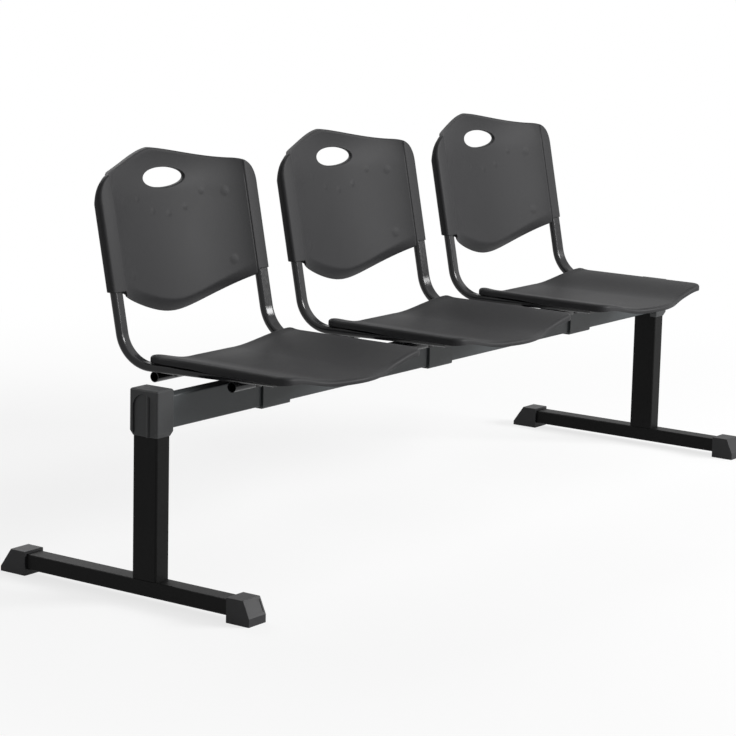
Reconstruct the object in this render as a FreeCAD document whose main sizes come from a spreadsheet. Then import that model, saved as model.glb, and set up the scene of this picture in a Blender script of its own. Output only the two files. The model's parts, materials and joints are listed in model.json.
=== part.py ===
import FreeCAD, Part

import math
import os

import Sketcher

# Beam seating: three moulded chairs on one steel beam between two legs.
# X runs along the beam, the sitter faces -Y and Z is up, all in millimetres.
# The origin is on the floor, in the middle of the bench's length and of its feet.

Vector = FreeCAD.Vector
doc = FreeCAD.newDocument("BeamSeating")

# Driving dimensions

SIZES = {
    # the bench as a whole
    "seat_pitch": 550.0,          # from one chair's middle to the next
    "end_reach": 340.4,           # from an outer chair's middle to its leg
    "beam_top": 373.5,            # height of the beam's top face
    "post_forward": 50.0,         # the posts stand this far ahead of the feet's middle
    # beam and the plates welded into its ends
    "beam_height": 60.0,
    "beam_depth": 30.0,
    "beam_wall": 2.0,
    "beam_corner": 3.0,
    "end_plate": 10.0,
    # legs
    "post_width": 37.0,
    "post_depth": 56.0,
    "post_wall": 2.0,
    "post_corner": 4.0,
    "post_rise": 12.5,            # the post stands this far above the beam
    "foot_width": 40.0,
    "foot_height": 30.0,
    "foot_wall": 2.0,
    "foot_corner": 4.0,
    "foot_clearance": 11.0,       # the foot tube's underside above the floor
    "foot_span": 592.0,           # from the front cap's tip to the rear cap's tip
    # screws between leg and beam
    "leg_bolt": 10.0,
    "leg_bolt_head": 16.0,
    "leg_bolt_head_height": 6.0,
    "leg_bolt_spacing": 30.0,
    "leg_bolt_reach": 9.0,        # how far it goes into the end plate
    "access_play": 1.0,           # all round the head in the outer wall's hole
    "hole_play": 0.2,             # all round a screw in its hole
    # foot caps
    "cap_wall": 5.0,
    "front_cap_length": 51.0,
    "front_cap_nose": 20.0,       # solid plastic ahead of the tube's end
    "front_cap_slope": 14.0,
    "front_cap_toe": 15.0,        # height of the upright toe under the slope
    "rear_cap_length": 62.0,
    "rear_cap_nose": 31.0,
    "rear_cap_slope": 26.0,
    "rear_cap_toe": 9.0,
    "cap_panel_border": 5.0,
    "cap_panel_depth": 1.0,
    "cap_round": 2.0,
    # covers over the joints of legs and beam
    "cover_wall": 4.5,
    "cover_taper": 9.0,           # height of the tapered foot of the cover
    "cover_drop": 8.5,            # the cover reaches this far below the beam
    "cover_corner": 3.0,
    "cover_chamfer": 2.5,
    "cover_play": 0.15,
    "cover_lip": 0.5,             # thickness of the tapered foot's lower end
    "recess_depth": 3.2,
    "recess_width": 50.0,
    "recess_top": 8.0,            # from the recess to the cover's top
    "recess_rib": 8.0,            # the rib stands this far ahead of the middle
    "collar_wall": 5.0,
    "collar_depth": 3.0,
    # chair frames
    "tube_width": 30.0,
    "tube_thickness": 15.0,
    "tube_wall": 1.5,
    "upright_spread": 434.0,      # between the uprights' middles
    "upright_back": 166.2,        # where upright and rail lines meet, behind the beam
    "upright_lean": 11.45,        # degrees
    "upright_top": 680.0,
    "rail_yaw": 8.43,             # degrees that each rail turns in towards the front
    "rail_front": 148.0,          # the rails end this far ahead of the beam's middle
    "bend_radius": 70.0,
    "cross_diameter": 20.0,
    "cross_wall": 1.5,
    "cross_rise": 4.5,            # the cross tubes' axes above the beam's top
    "cross_rear": 106.0,
    "cross_front": 60.0,
    "cross_front_weld": 5.0,      # its ends stop this far past the rails' middles
    "cross_rear_weld": 0.5,
    "rail_gap": 0.3,              # under and over the rails, which tilt a little
    "drill_overrun": 1.0,         # how far a drill runs past the wall it goes through
    "plug_head": 2.0,
    "plug_reach": 12.0,
    # clamps
    "saddle_width": 100.0,
    "saddle_thickness": 4.0,
    "strap_width": 83.0,
    "strap_thickness": 4.0,
    "strap_flange": 27.0,
    "strap_play": 0.2,
    "strap_bend": 4.0,
    "clamp_bolt": 8.0,
    "clamp_bolt_head": 13.0,
    "clamp_bolt_head_height": 5.3,
    "clamp_nut_height": 6.5,
    "clamp_bolt_spacing": 50.0,
    "clamp_bolt_tail": 1.5,       # the thread shows this much above its nut
    # seat shells
    "seat_width": 430.0,
    "seat_front": 206.0,          # front edge ahead of the beam, beside the bow
    "seat_front_bow": 22.0,       # the middle of the front edge stands out further
    "seat_bow_width": 260.0,
    "seat_rear": 145.0,
    "seat_rear_bow": 31.0,        # the rear corners are this far ahead of the middle
    "seat_rear_straight": 100.0,  # width of the rear edge's straight middle
    "seat_rear_power": 1.6,       # how sharply the edge sweeps forward beyond it
    "seat_rim_width": 30.0,       # strip along the rear edge that turns up
    "seat_rim_rise": 2.5,         # how far it turns up in the middle
    "seat_tip_rise": 3.0,         # and how much more at the corners
    "seat_tip_width": 65.0,
    "seat_wall": 4.0,
    "seat_floor": 393.5,          # height of the upper face's flat middle
    "seat_flat": 120.0,           # width of the flat middle
    "seat_rise": 22.5,            # the sides stand this far above the middle
    "seat_dip": 0.8,
    "seat_lip": 11.0,
    "seat_skirt": 16.0,
    "seat_rear_skirt": 11.5,
    "seat_skirt_change": 60.0,    # the skirt starts to change this far ahead of the beam
    "seat_skirt_blend": 80.0,     # and has changed after this length
    "seat_skirt_power": 6.0,      # keeps the deeper skirt to the sides
    "seat_front_corner": 24.0,
    "seat_rear_corner": 12.0,
    "seat_round": 5.0,
    "boss_diameter": 16.0,
    "seat_screw": 5.0,
    "seat_screw_head": 10.0,
    "seat_screw_head_height": 3.5,
    "seat_screw_rear": 62.0,
    "seat_screw_front": 112.0,
    "seat_screw_grip": 4.5,       # how far it reaches into the boss
    "end_play": 0.5,              # room beyond the ends of screws and uprights
    # back shells
    "back_wall": 4.5,
    "back_set": 31.5,             # the middle of the back behind the uprights
    "back_hollow": 36.5,          # how deep the back curves between its grooves
    "back_groove": 197.0,         # from the middle to the grooves beside the sleeves
    "groove_width": 1.0,
    "back_lap": 3.0,              # the sheet runs this far past the groove, into the sleeve
    "back_belly": 465.0,          # lowest point of the bottom edge
    "back_belly_slope": 0.385,
    "back_belly_round": 26.0,
    "back_belly_roll": 18.0,      # the bottom edge rolls back by this much in the middle
    "back_roll_height": 24.0,
    "back_roll_width": 410.0,     # the roll has faded out over this width
    "back_shoulder": 743.0,       # height of the top edge beside its corners
    "back_crown": 29.0,           # the middle of the top edge stands this much higher
    "back_gable": 420.0,          # width over which the top edge rises to its middle
    "back_gable_round": 1.4,      # how round the gable's tip is
    "back_gable_flare": 2.0,      # how hollow its slopes are
    "back_corner": 50.0,
    "back_curl": 27.0,            # the top edge rolls back by this much in the middle
    "back_curl_height": 82.0,
    "back_curl_width": 430.0,     # the curl has faded out over this width
    "back_rim": 11.0,
    "sleeve_wall": 3.0,
    "sleeve_inner_wall": 3.5,
    "sleeve_play": 0.15,
    "sleeve_bottom": 528.0,
    "sleeve_roof": 8.0,           # solid plastic above the upright's end
    "sleeve_tip": 10.0,           # depth of the side wall at the top corner
    "sleeve_thinning": 42.0,      # height over which it thins to that depth
    "sleeve_round": 8.0,
    "handle_width": 124.0,
    "handle_height": 39.5,
    "handle_middle": 717.5,
    "handle_rim": 9.0,
    "dome_rise": 1.2,
    "dome_step": 0.4,         # height of a mark's upright rim
    "dome_small": 14.0,
    "dome_large": 20.0,
    "dome_spread": 150.0,
    "dome_low": 550.0,
    "dome_high": 680.0,
    "dome_row": 650.0,
    "dome_row_step": 47.5,
    "dome_row_rise": 9.25,        # rise of the row of small domes over one step
    "back_screw": 4.5,
    "back_screw_head": 9.0,
    "back_screw_head_height": 3.0,
    "back_screw_height": 600.0,
    "back_screw_tip": 3.0,        # how far it stands out inside the tube
}

sheet = doc.addObject("Spreadsheet::Sheet", "Sizes")
for row, (alias, number) in enumerate(SIZES.items(), start=1):
    sheet.set(f"A{row}", alias)
    sheet.set(f"B{row}", str(number))
    sheet.setAlias(f"B{row}", alias)
doc.recompute()


def size(alias):
    """The value of one cell of the sheet."""
    return float(sheet.get(alias))


def measure(formula):
    """What a formula of the sheet's cells gives now."""
    return float(sheet.evalExpression(formula))


# Formulas that more than one piece uses

POST_X = "(Sizes.seat_pitch + Sizes.end_reach)"
BEAM_MIDDLE = "(Sizes.beam_top - Sizes.beam_height / 2)"
FOOT_TOP = "(Sizes.foot_clearance + Sizes.foot_height)"
CAP_HEIGHT = f"({FOOT_TOP} + Sizes.cap_wall)"
COVER_HALF_WIDTH = "(Sizes.post_width / 2 + Sizes.cover_wall)"
LEAN = "Sizes.upright_lean * 1 deg"
YAW = "Sizes.rail_yaw * 1 deg"
CROSS_HEIGHT = "(Sizes.beam_top + Sizes.cross_rise)"
RAIL_HEIGHT = (f"({CROSS_HEIGHT} + Sizes.cross_diameter / 2 + Sizes.rail_gap"
               " + Sizes.tube_thickness / 2)")
TURN = f"acos(sin({LEAN}) * cos({YAW}))"
BEND_START = f"(Sizes.bend_radius * tan({TURN} / 2))"
UPRIGHT_LENGTH = f"((Sizes.upright_top - {RAIL_HEIGHT}) / cos({LEAN}))"
RAIL_LENGTH = f"((Sizes.upright_back + Sizes.rail_front) / cos({YAW}))"

# Places worked out from the sheet

post_x = measure(POST_X)
post_y = -size("post_forward")
beam_middle = measure(BEAM_MIDDLE)
foot_top = measure(FOOT_TOP)
rail_z = measure(RAIL_HEIGHT)
boss_foot = rail_z + size("tube_thickness") / 2 + size("rail_gap")
screw_seat = rail_z - size("tube_thickness") / 2 - size("rail_gap")
lean = math.radians(size("upright_lean"))
yaw = math.radians(size("rail_yaw"))
chair_middles = {
    "left": -size("seat_pitch"),
    "middle": 0.0,
    "right": size("seat_pitch"),
}
SIDES = {"left": -1, "right": 1}

# Helper blocks reach PAST what they cut, and DEEP is more than a chair is deep
PAST = 20.0
DEEP = 500.0
# Closer together than NEAR, two places count as one
NEAR = 0.01

parts = []


def finish_part(obj, label, place):
    """Name a finished sub-part, put it in its place and keep it for the export."""
    obj.Label = label
    obj.Placement = place
    parts.append(obj)
    return obj


def at(x, y, z, turn=0.0):
    """A place, turned about the upright axis by a number of degrees."""
    return FreeCAD.Placement(Vector(x, y, z), FreeCAD.Rotation(Vector(0, 0, 1), turn))


# Sketches and features

def new_body(name):
    return doc.addObject("PartDesign::Body", name)


def new_sketch(body, role, name, offset=None):
    """A sketch on an origin plane, moved off it by a formula where one is given."""
    sketch = body.newObject("Sketcher::SketchObject", name)
    plane = next(item for item in body.Origin.OriginFeatures if item.Role == role)
    sketch.AttachmentSupport = [(plane, "")]
    sketch.MapMode = "FlatFace"
    if offset is not None:
        sketch.setExpression("AttachmentOffset.Base.z", offset)
        doc.recompute()
    return sketch


def bind(sketch, kind, *places, formula):
    """Add a dimension and tie it to a formula."""
    index = sketch.addConstraint(Sketcher.Constraint(kind, *places, measure(formula)))
    sketch.setExpression(f"Constraints[{index}]", formula)


def bind_point(sketch, geometry, end, across, upward):
    """Tie a point to two formulas; a formula of 0 puts it on the axis."""
    for kind, formula, axis in (("DistanceX", across, -2), ("DistanceY", upward, -1)):
        if formula == "0":
            sketch.addConstraint(Sketcher.Constraint("PointOnObject", geometry, end, axis))
        else:
            bind(sketch, kind, -1, 1, geometry, end, formula=formula)


def draw_outline(sketch, corners):
    """A closed line through corners, each given as two formulas."""
    points = [Vector(measure(across), measure(upward), 0) for across, upward in corners]
    first = sketch.GeometryCount
    for start, end in zip(points, points[1:] + points[:1]):
        sketch.addGeometry(Part.LineSegment(start, end))
    for step, (across, upward) in enumerate(corners):
        following = first + (step + 1) % len(corners)
        sketch.addConstraint(Sketcher.Constraint("Coincident", first + step, 2, following, 1))
        bind_point(sketch, first + step, 1, across, upward)


def draw_rectangle(sketch, width, height, radius):
    """A rectangle with round corners about the sketch's origin, from three formulas."""
    wide, high, bend = measure(width) / 2, measure(height) / 2, measure(radius)
    first = sketch.GeometryCount
    ends = [
        (Vector(bend - wide, -high, 0), Vector(wide - bend, -high, 0)),
        (Vector(wide, bend - high, 0), Vector(wide, high - bend, 0)),
        (Vector(wide - bend, high, 0), Vector(bend - wide, high, 0)),
        (Vector(-wide, high - bend, 0), Vector(-wide, bend - high, 0)),
    ]
    for start, end in ends:
        sketch.addGeometry(Part.LineSegment(start, end))
    centres = [
        Vector(wide - bend, bend - high, 0),
        Vector(wide - bend, high - bend, 0),
        Vector(bend - wide, high - bend, 0),
        Vector(bend - wide, bend - high, 0),
    ]
    for quarter, centre in enumerate(centres):
        circle = Part.Circle(centre, Vector(0, 0, 1), bend)
        start = (quarter - 1) * math.pi / 2
        sketch.addGeometry(Part.ArcOfCircle(circle, start, start + math.pi / 2))
    for side in range(4):
        arc = first + 4 + side
        following = first + (side + 1) % 4
        sketch.addConstraint(Sketcher.Constraint("Tangent", first + side, 2, arc, 1))
        sketch.addConstraint(Sketcher.Constraint("Tangent", arc, 2, following, 1))
        kind = "Horizontal" if side % 2 == 0 else "Vertical"
        sketch.addConstraint(Sketcher.Constraint(kind, first + side))
    for arc in range(first + 5, first + 8):
        sketch.addConstraint(Sketcher.Constraint("Equal", first + 4, arc))
    sketch.addConstraint(Sketcher.Constraint("Symmetric", first + 5, 3, first + 7, 3, -1, 1))
    bind(sketch, "Radius", first + 4, formula=radius)
    bind(sketch, "DistanceX", first + 3, 1, first + 1, 1, formula=width)
    bind(sketch, "DistanceY", first, 1, first + 2, 1, formula=height)


def draw_flat_oval(sketch, width, thickness):
    """Two half circles joined by straight lines, about the sketch's origin."""
    bend = measure(thickness) / 2
    reach = measure(width) / 2 - bend
    first = sketch.GeometryCount
    sketch.addGeometry(Part.LineSegment(Vector(-reach, -bend, 0), Vector(reach, -bend, 0)))
    sketch.addGeometry(Part.LineSegment(Vector(reach, bend, 0), Vector(-reach, bend, 0)))
    for centre, start in ((reach, -math.pi / 2), (-reach, math.pi / 2)):
        circle = Part.Circle(Vector(centre, 0, 0), Vector(0, 0, 1), bend)
        sketch.addGeometry(Part.ArcOfCircle(circle, start, start + math.pi))
    near, far, right, left = first, first + 1, first + 2, first + 3
    for before, after in ((near, right), (right, far), (far, left), (left, near)):
        sketch.addConstraint(Sketcher.Constraint("Tangent", before, 2, after, 1))
    sketch.addConstraint(Sketcher.Constraint("Equal", right, left))
    sketch.addConstraint(Sketcher.Constraint("Symmetric", right, 3, left, 3, -1, 1))
    sketch.addConstraint(Sketcher.Constraint("Horizontal", near))
    bind(sketch, "Radius", right, formula=f"({thickness}) / 2")
    bind(sketch, "DistanceX", left, 3, right, 3, formula=f"({width}) - ({thickness})")


def draw_circle(sketch, across, upward, diameter):
    """A circle whose middle and diameter are formulas."""
    middle = Vector(measure(across), measure(upward), 0)
    radius = measure(diameter) / 2
    index = sketch.addGeometry(Part.Circle(middle, Vector(0, 0, 1), radius))
    bind(sketch, "Diameter", index, formula=diameter)
    bind_point(sketch, index, 3, across, upward)


def pad(body, sketch, length, symmetric=False, backward=False):
    """Raise a sketch into a solid whose length is a formula."""
    feature = body.newObject("PartDesign::Pad", "Pad")
    feature.Profile = sketch
    feature.setExpression("Length", length)
    feature.SideType = "Symmetric" if symmetric else "One side"
    feature.Reversed = backward
    doc.recompute()
    return feature


def pocket(body, sketch, depth=None, symmetric=False, backward=False):
    """Cut a sketch out of a body, through all of it where no depth is given."""
    before = body.Shape.Volume
    feature = body.newObject("PartDesign::Pocket", "Pocket")
    feature.Profile = sketch
    if depth is None:
        feature.Type = "ThroughAll"
    else:
        feature.setExpression("Length", depth)
    feature.SideType = "Symmetric" if symmetric else "One side"
    feature.Reversed = backward
    doc.recompute()
    if body.Shape.Volume > before - NEAR:
        raise ValueError(f"{body.Name}: {sketch.Name} cuts nothing")
    return feature


def edge_names(shape, wanted):
    """The names of the edges that a test picks."""
    return [f"Edge{index}" for index, edge in enumerate(shape.Edges, start=1) if wanted(edge)]


def round_edges(body, wanted, radius):
    """Fillet the edges of a body that a test picks, by a radius from the sheet."""
    base = body.Tip
    feature = body.newObject("PartDesign::Fillet", "Fillet")
    feature.Base = (base, edge_names(base.Shape, wanted))
    feature.setExpression("Radius", radius)
    doc.recompute()


def chamfer_edges(body, wanted, width):
    """Chamfer the edges of a body that a test picks, by a size from the sheet."""
    base = body.Tip
    feature = body.newObject("PartDesign::Chamfer", "Chamfer")
    feature.Base = (base, edge_names(base.Shape, wanted))
    feature.setExpression("Size", width)
    doc.recompute()


def runs_along(edge, axis):
    """Whether an edge is straight and lies along an axis."""
    if not isinstance(edge.Curve, Part.Line):
        return False
    return edge.Curve.Direction.getAngle(axis) % math.pi < NEAR


# The beam and its end plates

def make_beam():
    """A rectangular steel tube that fits between the two posts."""
    body = new_body("Beam")
    section = new_sketch(body, "YZ_Plane", "BeamSection")
    draw_rectangle(section, "Sizes.beam_depth", "Sizes.beam_height", "Sizes.beam_corner")
    draw_rectangle(
        section,
        "Sizes.beam_depth - 2 * Sizes.beam_wall",
        "Sizes.beam_height - 2 * Sizes.beam_wall",
        "Sizes.beam_corner - Sizes.beam_wall",
    )
    pad(body, section, f"2 * {POST_X} - Sizes.post_width", symmetric=True)
    finish_part(body, "beam", at(0, post_y, beam_middle))


def make_end_plate(side):
    """A tapped plate welded into the beam's end, for the leg's screws."""
    body = new_body("EndPlate")
    section = new_sketch(body, "YZ_Plane", "PlateSection")
    draw_rectangle(
        section,
        "Sizes.beam_depth - 2 * Sizes.beam_wall",
        "Sizes.beam_height - 2 * Sizes.beam_wall",
        "Sizes.beam_corner - Sizes.beam_wall",
    )
    for sign in ("", "-"):
        height = f"{sign}Sizes.leg_bolt_spacing / 2"
        draw_circle(section, "0", height, "Sizes.leg_bolt + 2 * Sizes.hole_play")
    pad(body, section, "Sizes.end_plate")
    turn = 0 if side == "left" else 180
    end = SIDES[side] * (post_x - size("post_width") / 2)
    finish_part(body, f"beam_end_plate_{side}", at(end, post_y, beam_middle, turn))


# Legs

def make_post(side):
    """An upright tube; the screws pass its inner wall and go in through its outer one."""
    body = new_body("Post")
    section = new_sketch(body, "XY_Plane", "PostSection")
    draw_rectangle(section, "Sizes.post_width", "Sizes.post_depth", "Sizes.post_corner")
    draw_rectangle(
        section,
        "Sizes.post_width - 2 * Sizes.post_wall",
        "Sizes.post_depth - 2 * Sizes.post_wall",
        "Sizes.post_corner - Sizes.post_wall",
    )
    pad(body, section, f"Sizes.beam_top + Sizes.post_rise - {FOOT_TOP}")
    inner = new_sketch(body, "YZ_Plane", "ScrewHoles")
    outer = new_sketch(body, "YZ_Plane", "AccessHoles")
    for sign in ("+", "-"):
        height = f"{BEAM_MIDDLE} - {FOOT_TOP} {sign} Sizes.leg_bolt_spacing / 2"
        draw_circle(inner, "0", height, "Sizes.leg_bolt + 2 * Sizes.hole_play")
        draw_circle(outer, "0", height, "Sizes.leg_bolt_head + 2 * Sizes.access_play")
    pocket(body, inner, backward=True)
    pocket(body, outer)
    turn = 0 if side == "left" else 180
    finish_part(body, f"leg_post_{side}", at(SIDES[side] * post_x, post_y, foot_top, turn))


def make_foot_tube(side):
    """The level tube that the post is welded to, open ends inside the foot caps."""
    body = new_body("FootTube")
    section = new_sketch(body, "XZ_Plane", "FootSection")
    draw_rectangle(section, "Sizes.foot_width", "Sizes.foot_height", "Sizes.foot_corner")
    draw_rectangle(
        section,
        "Sizes.foot_width - 2 * Sizes.foot_wall",
        "Sizes.foot_height - 2 * Sizes.foot_wall",
        "Sizes.foot_corner - Sizes.foot_wall",
    )
    noses = "Sizes.front_cap_nose + Sizes.rear_cap_nose"
    pad(body, section, f"Sizes.foot_span - ({noses})", symmetric=True)
    middle = (size("front_cap_nose") - size("rear_cap_nose")) / 2
    height = size("foot_clearance") + size("foot_height") / 2
    finish_part(body, f"leg_base_{side}", at(SIDES[side] * post_x, middle, height))


def make_foot_cap(side, place):
    """A plastic cap over the foot tube's end, with a sloped toe and a sunk panel."""
    length = f"Sizes.{place}_cap_length"
    slope = f"Sizes.{place}_cap_slope"
    toe = f"Sizes.{place}_cap_toe"
    body = new_body("FootCap")
    profile = new_sketch(body, "YZ_Plane", "CapProfile")
    draw_outline(profile, [
        ("0", "0"),
        ("0", CAP_HEIGHT),
        (f"-{length} + {slope}", CAP_HEIGHT),
        (f"-{length}", toe),
        (f"-{length}", "0"),
    ])
    width = "Sizes.foot_width + 2 * Sizes.cap_wall"
    pad(body, profile, width, symmetric=True)
    top = measure(CAP_HEIGHT)

    def outer_edge(edge):
        along_top = runs_along(edge, Vector(0, 1, 0)) and edge.CenterOfMass.z > top - NEAR
        front = not runs_along(edge, Vector(1, 0, 0)) and edge.CenterOfMass.y < -NEAR
        low = edge.CenterOfMass.z < NEAR
        return along_top or (front and not low)

    round_edges(body, outer_edge, "Sizes.cap_round")
    bore = new_sketch(body, "XZ_Plane", "TubeBore")
    low, high = "Sizes.foot_clearance", FOOT_TOP
    half = "Sizes.foot_width / 2"
    draw_outline(bore, [(f"-{half}", low), (half, low), (half, high), (f"-{half}", high)])
    pocket(body, bore, f"{length} - Sizes.{place}_cap_nose", backward=True)
    panel = new_sketch(body, "YZ_Plane", "PanelCut")
    rise = f"({CAP_HEIGHT} - {toe})"
    face = f"sqrt({slope} * {slope} + {rise} * {rise})"
    border = f"(Sizes.cap_panel_border / {face})"
    across = f"(Sizes.cap_panel_depth * {rise} / {face})"
    inward = f"(Sizes.cap_panel_depth * {slope} / {face})"
    low_y = f"-{length} + {slope} * {border}"
    low_z = f"{toe} + {rise} * {border}"
    high_y = f"-{length} + {slope} * (1 - {border})"
    high_z = f"{toe} + {rise} * (1 - {border})"
    draw_outline(panel, [
        (f"{low_y} - {across}", f"{low_z} + {inward}"),
        (f"{low_y} + {across}", f"{low_z} - {inward}"),
        (f"{high_y} + {across}", f"{high_z} - {inward}"),
        (f"{high_y} - {across}", f"{high_z} + {inward}"),
    ])
    pocket(body, panel, f"{width} - 2 * Sizes.cap_panel_border", symmetric=True)
    reach = size("foot_span") / 2 - size(f"{place}_cap_length")
    turn = 0 if place == "front" else 180
    y = -reach if place == "front" else reach
    finish_part(body, f"foot_cap_{place}_{side}", at(SIDES[side] * post_x, y, 0, turn))


def make_cover(side):
    """A plastic cover over the post's head, open below and notched for the beam."""
    height = "(Sizes.beam_height + Sizes.cover_drop + Sizes.post_rise + Sizes.cover_wall)"
    wide = "Sizes.post_width + 2 * Sizes.cover_wall"
    deep = "Sizes.post_depth + 2 * Sizes.cover_wall"
    body = new_body("Cover")
    foot = new_sketch(body, "XY_Plane", "CoverFoot")
    narrow = "2 * (Sizes.cover_play + Sizes.cover_lip)"
    draw_rectangle(foot, f"Sizes.post_width + {narrow}", f"Sizes.post_depth + {narrow}",
                   "Sizes.cover_corner")
    shoulder = new_sketch(body, "XY_Plane", "CoverShoulder", "Sizes.cover_taper")
    draw_rectangle(shoulder, wide, deep, "Sizes.cover_corner")
    taper = body.newObject("PartDesign::AdditiveLoft", "Taper")
    taper.Profile = foot
    taper.Sections = [shoulder]
    doc.recompute()
    walls = new_sketch(body, "XY_Plane", "CoverWalls", "Sizes.cover_taper")
    draw_rectangle(walls, wide, deep, "Sizes.cover_corner")
    pad(body, walls, f"{height} - Sizes.cover_taper")
    collar = new_sketch(body, "YZ_Plane", "Collar", COVER_HALF_WIDTH)
    edge = "(Sizes.beam_depth / 2 + Sizes.collar_wall)"
    ledge = "(Sizes.cover_drop + Sizes.beam_height + Sizes.collar_wall)"
    draw_outline(collar, [
        (f"-{edge}", "Sizes.cover_taper"),
        (edge, "Sizes.cover_taper"),
        (edge, ledge),
        (f"-{edge}", ledge),
    ])
    pad(body, collar, "Sizes.collar_depth")
    top = measure(height)
    chamfer_edges(body, lambda edge: edge.CenterOfMass.z > top - NEAR, "Sizes.cover_chamfer")
    recess = new_sketch(body, "YZ_Plane", "Recess", f"Sizes.recess_depth - {COVER_HALF_WIDTH}")
    draw_arch(recess, "Sizes.recess_width", f"{height} - Sizes.recess_top")
    pocket(body, recess)
    rib = new_sketch(body, "XY_Plane", "Rib")
    draw_half_round(rib, f"Sizes.recess_depth - {COVER_HALF_WIDTH}", "-Sizes.recess_rib",
                    "Sizes.recess_depth")
    pad(body, rib, f"{height} - Sizes.recess_top")
    room = new_sketch(body, "XY_Plane", "PostRoom")
    draw_rectangle(
        room,
        "Sizes.post_width + 2 * Sizes.cover_play",
        "Sizes.post_depth + 2 * Sizes.cover_play",
        "Sizes.post_corner",
    )
    pocket(body, room, f"{height} - Sizes.cover_wall + Sizes.cover_play", backward=True)
    notch = new_sketch(body, "YZ_Plane", "BeamNotch")
    half = "(Sizes.beam_depth / 2 + Sizes.cover_play)"
    crown = "(Sizes.cover_drop + Sizes.beam_height + Sizes.cover_play)"
    draw_outline(notch, [(f"-{half}", "0"), (half, "0"), (half, crown), (f"-{half}", crown)])
    pocket(body, notch, backward=True)
    turn = 0 if side == "left" else 180
    bottom = size("beam_top") - size("beam_height") - size("cover_drop")
    finish_part(body, f"post_cover_{side}", at(SIDES[side] * post_x, post_y, bottom, turn))


def draw_arch(sketch, width, height):
    """An upright-sided opening from the sketch's axis up to a half round top."""
    half = measure(width) / 2
    spring = measure(height) - half
    sketch.addGeometry(Part.LineSegment(Vector(-half, 0, 0), Vector(half, 0, 0)))
    sketch.addGeometry(Part.LineSegment(Vector(half, 0, 0), Vector(half, spring, 0)))
    circle = Part.Circle(Vector(0, spring, 0), Vector(0, 0, 1), half)
    sketch.addGeometry(Part.ArcOfCircle(circle, 0, math.pi))
    sketch.addGeometry(Part.LineSegment(Vector(-half, spring, 0), Vector(-half, 0, 0)))
    sketch.addConstraint(Sketcher.Constraint("Coincident", 0, 2, 1, 1))
    sketch.addConstraint(Sketcher.Constraint("Tangent", 1, 2, 2, 1))
    sketch.addConstraint(Sketcher.Constraint("Tangent", 2, 2, 3, 1))
    sketch.addConstraint(Sketcher.Constraint("Coincident", 3, 2, 0, 1))
    sketch.addConstraint(Sketcher.Constraint("Vertical", 1))
    sketch.addConstraint(Sketcher.Constraint("Vertical", 3))
    bind_point(sketch, 0, 1, f"-({width}) / 2", "0")
    bind_point(sketch, 0, 2, f"({width}) / 2", "0")
    bind(sketch, "DistanceY", -1, 1, 2, 3, formula=f"({height}) - ({width}) / 2")


def draw_half_round(sketch, across, upward, radius):
    """A half circle that bulges towards -X from a straight upright edge."""
    middle = Vector(measure(across), measure(upward), 0)
    reach = Vector(0, measure(radius), 0)
    circle = Part.Circle(middle, Vector(0, 0, 1), measure(radius))
    sketch.addGeometry(Part.ArcOfCircle(circle, math.pi / 2, 3 * math.pi / 2))
    sketch.addGeometry(Part.LineSegment(middle - reach, middle + reach))
    sketch.addConstraint(Sketcher.Constraint("Coincident", 0, 2, 1, 1))
    sketch.addConstraint(Sketcher.Constraint("Coincident", 1, 2, 0, 1))
    sketch.addConstraint(Sketcher.Constraint("PointOnObject", 0, 3, 1))
    sketch.addConstraint(Sketcher.Constraint("Vertical", 1))
    bind(sketch, "Radius", 0, formula=radius)
    bind_point(sketch, 0, 3, across, upward)


# Primitives

def make_cylinder(radius, height, place):
    """A cylinder whose radius and height are formulas."""
    obj = doc.addObject("Part::Cylinder", "Round")
    obj.setExpression("Radius", radius)
    obj.setExpression("Height", height)
    obj.Placement = place
    return obj


def make_hexagon(across_flats, height, place):
    """A six-sided prism from its size across flats and its height."""
    obj = doc.addObject("Part::Prism", "Hexagon")
    obj.Polygon = 6
    obj.setExpression("Circumradius", f"({across_flats}) / sqrt(3)")
    obj.setExpression("Height", height)
    obj.Placement = place
    return obj


def join(*pieces):
    """One solid out of pieces that touch."""
    obj = doc.addObject("Part::MultiFuse", "Joined")
    obj.Shapes = list(pieces)
    return obj


def group(pieces):
    """Separate solids kept together as one sub-part."""
    obj = doc.addObject("Part::Compound", "Group")
    obj.Links = list(pieces)
    return obj


def cut(base, tool):
    obj = doc.addObject("Part::Cut", "Drilled")
    obj.Base = base
    obj.Tool = tool
    return obj


def pointing(place, direction):
    """A place whose Z axis points in a direction."""
    return FreeCAD.Placement(place, FreeCAD.Rotation(Vector(0, 0, 1), direction))


def make_screw(diameter, head, head_height, length, place):
    """A round-headed screw: the head lies below its place and the shank above it."""
    sunk = place.multiply(at(0, 0, -measure(head_height)))
    top = make_cylinder(f"{head} / 2", head_height, sunk)
    shank = make_cylinder(f"{diameter} / 2", length, place)
    return join(top, shank)


def make_leg_bolts(side):
    """Two screws, heads against the post's inner wall, into the beam's end plate."""
    seat = size("post_width") / 2 - size("post_wall")
    length = "Sizes.post_wall + Sizes.leg_bolt_reach"
    screws = []
    for sign in (-1, 1):
        height = sign * size("leg_bolt_spacing") / 2
        place = pointing(Vector(seat, 0, height), Vector(1, 0, 0))
        screws.append(make_screw("Sizes.leg_bolt", "Sizes.leg_bolt_head",
                                 "Sizes.leg_bolt_head_height", length, place))
    turn = 0 if side == "left" else 180
    place = at(SIDES[side] * post_x, post_y, beam_middle, turn)
    finish_part(group(screws), f"leg_bolts_{side}", place)


# Chair frames, in the chair's own frame: X from its middle, Y from the beam's middle

def rail_middle(y):
    """Distance of a rail's middle line from the chair's middle, at a place along it."""
    return size("upright_spread") / 2 - math.tan(yaw) * (size("upright_back") - y)


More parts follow.
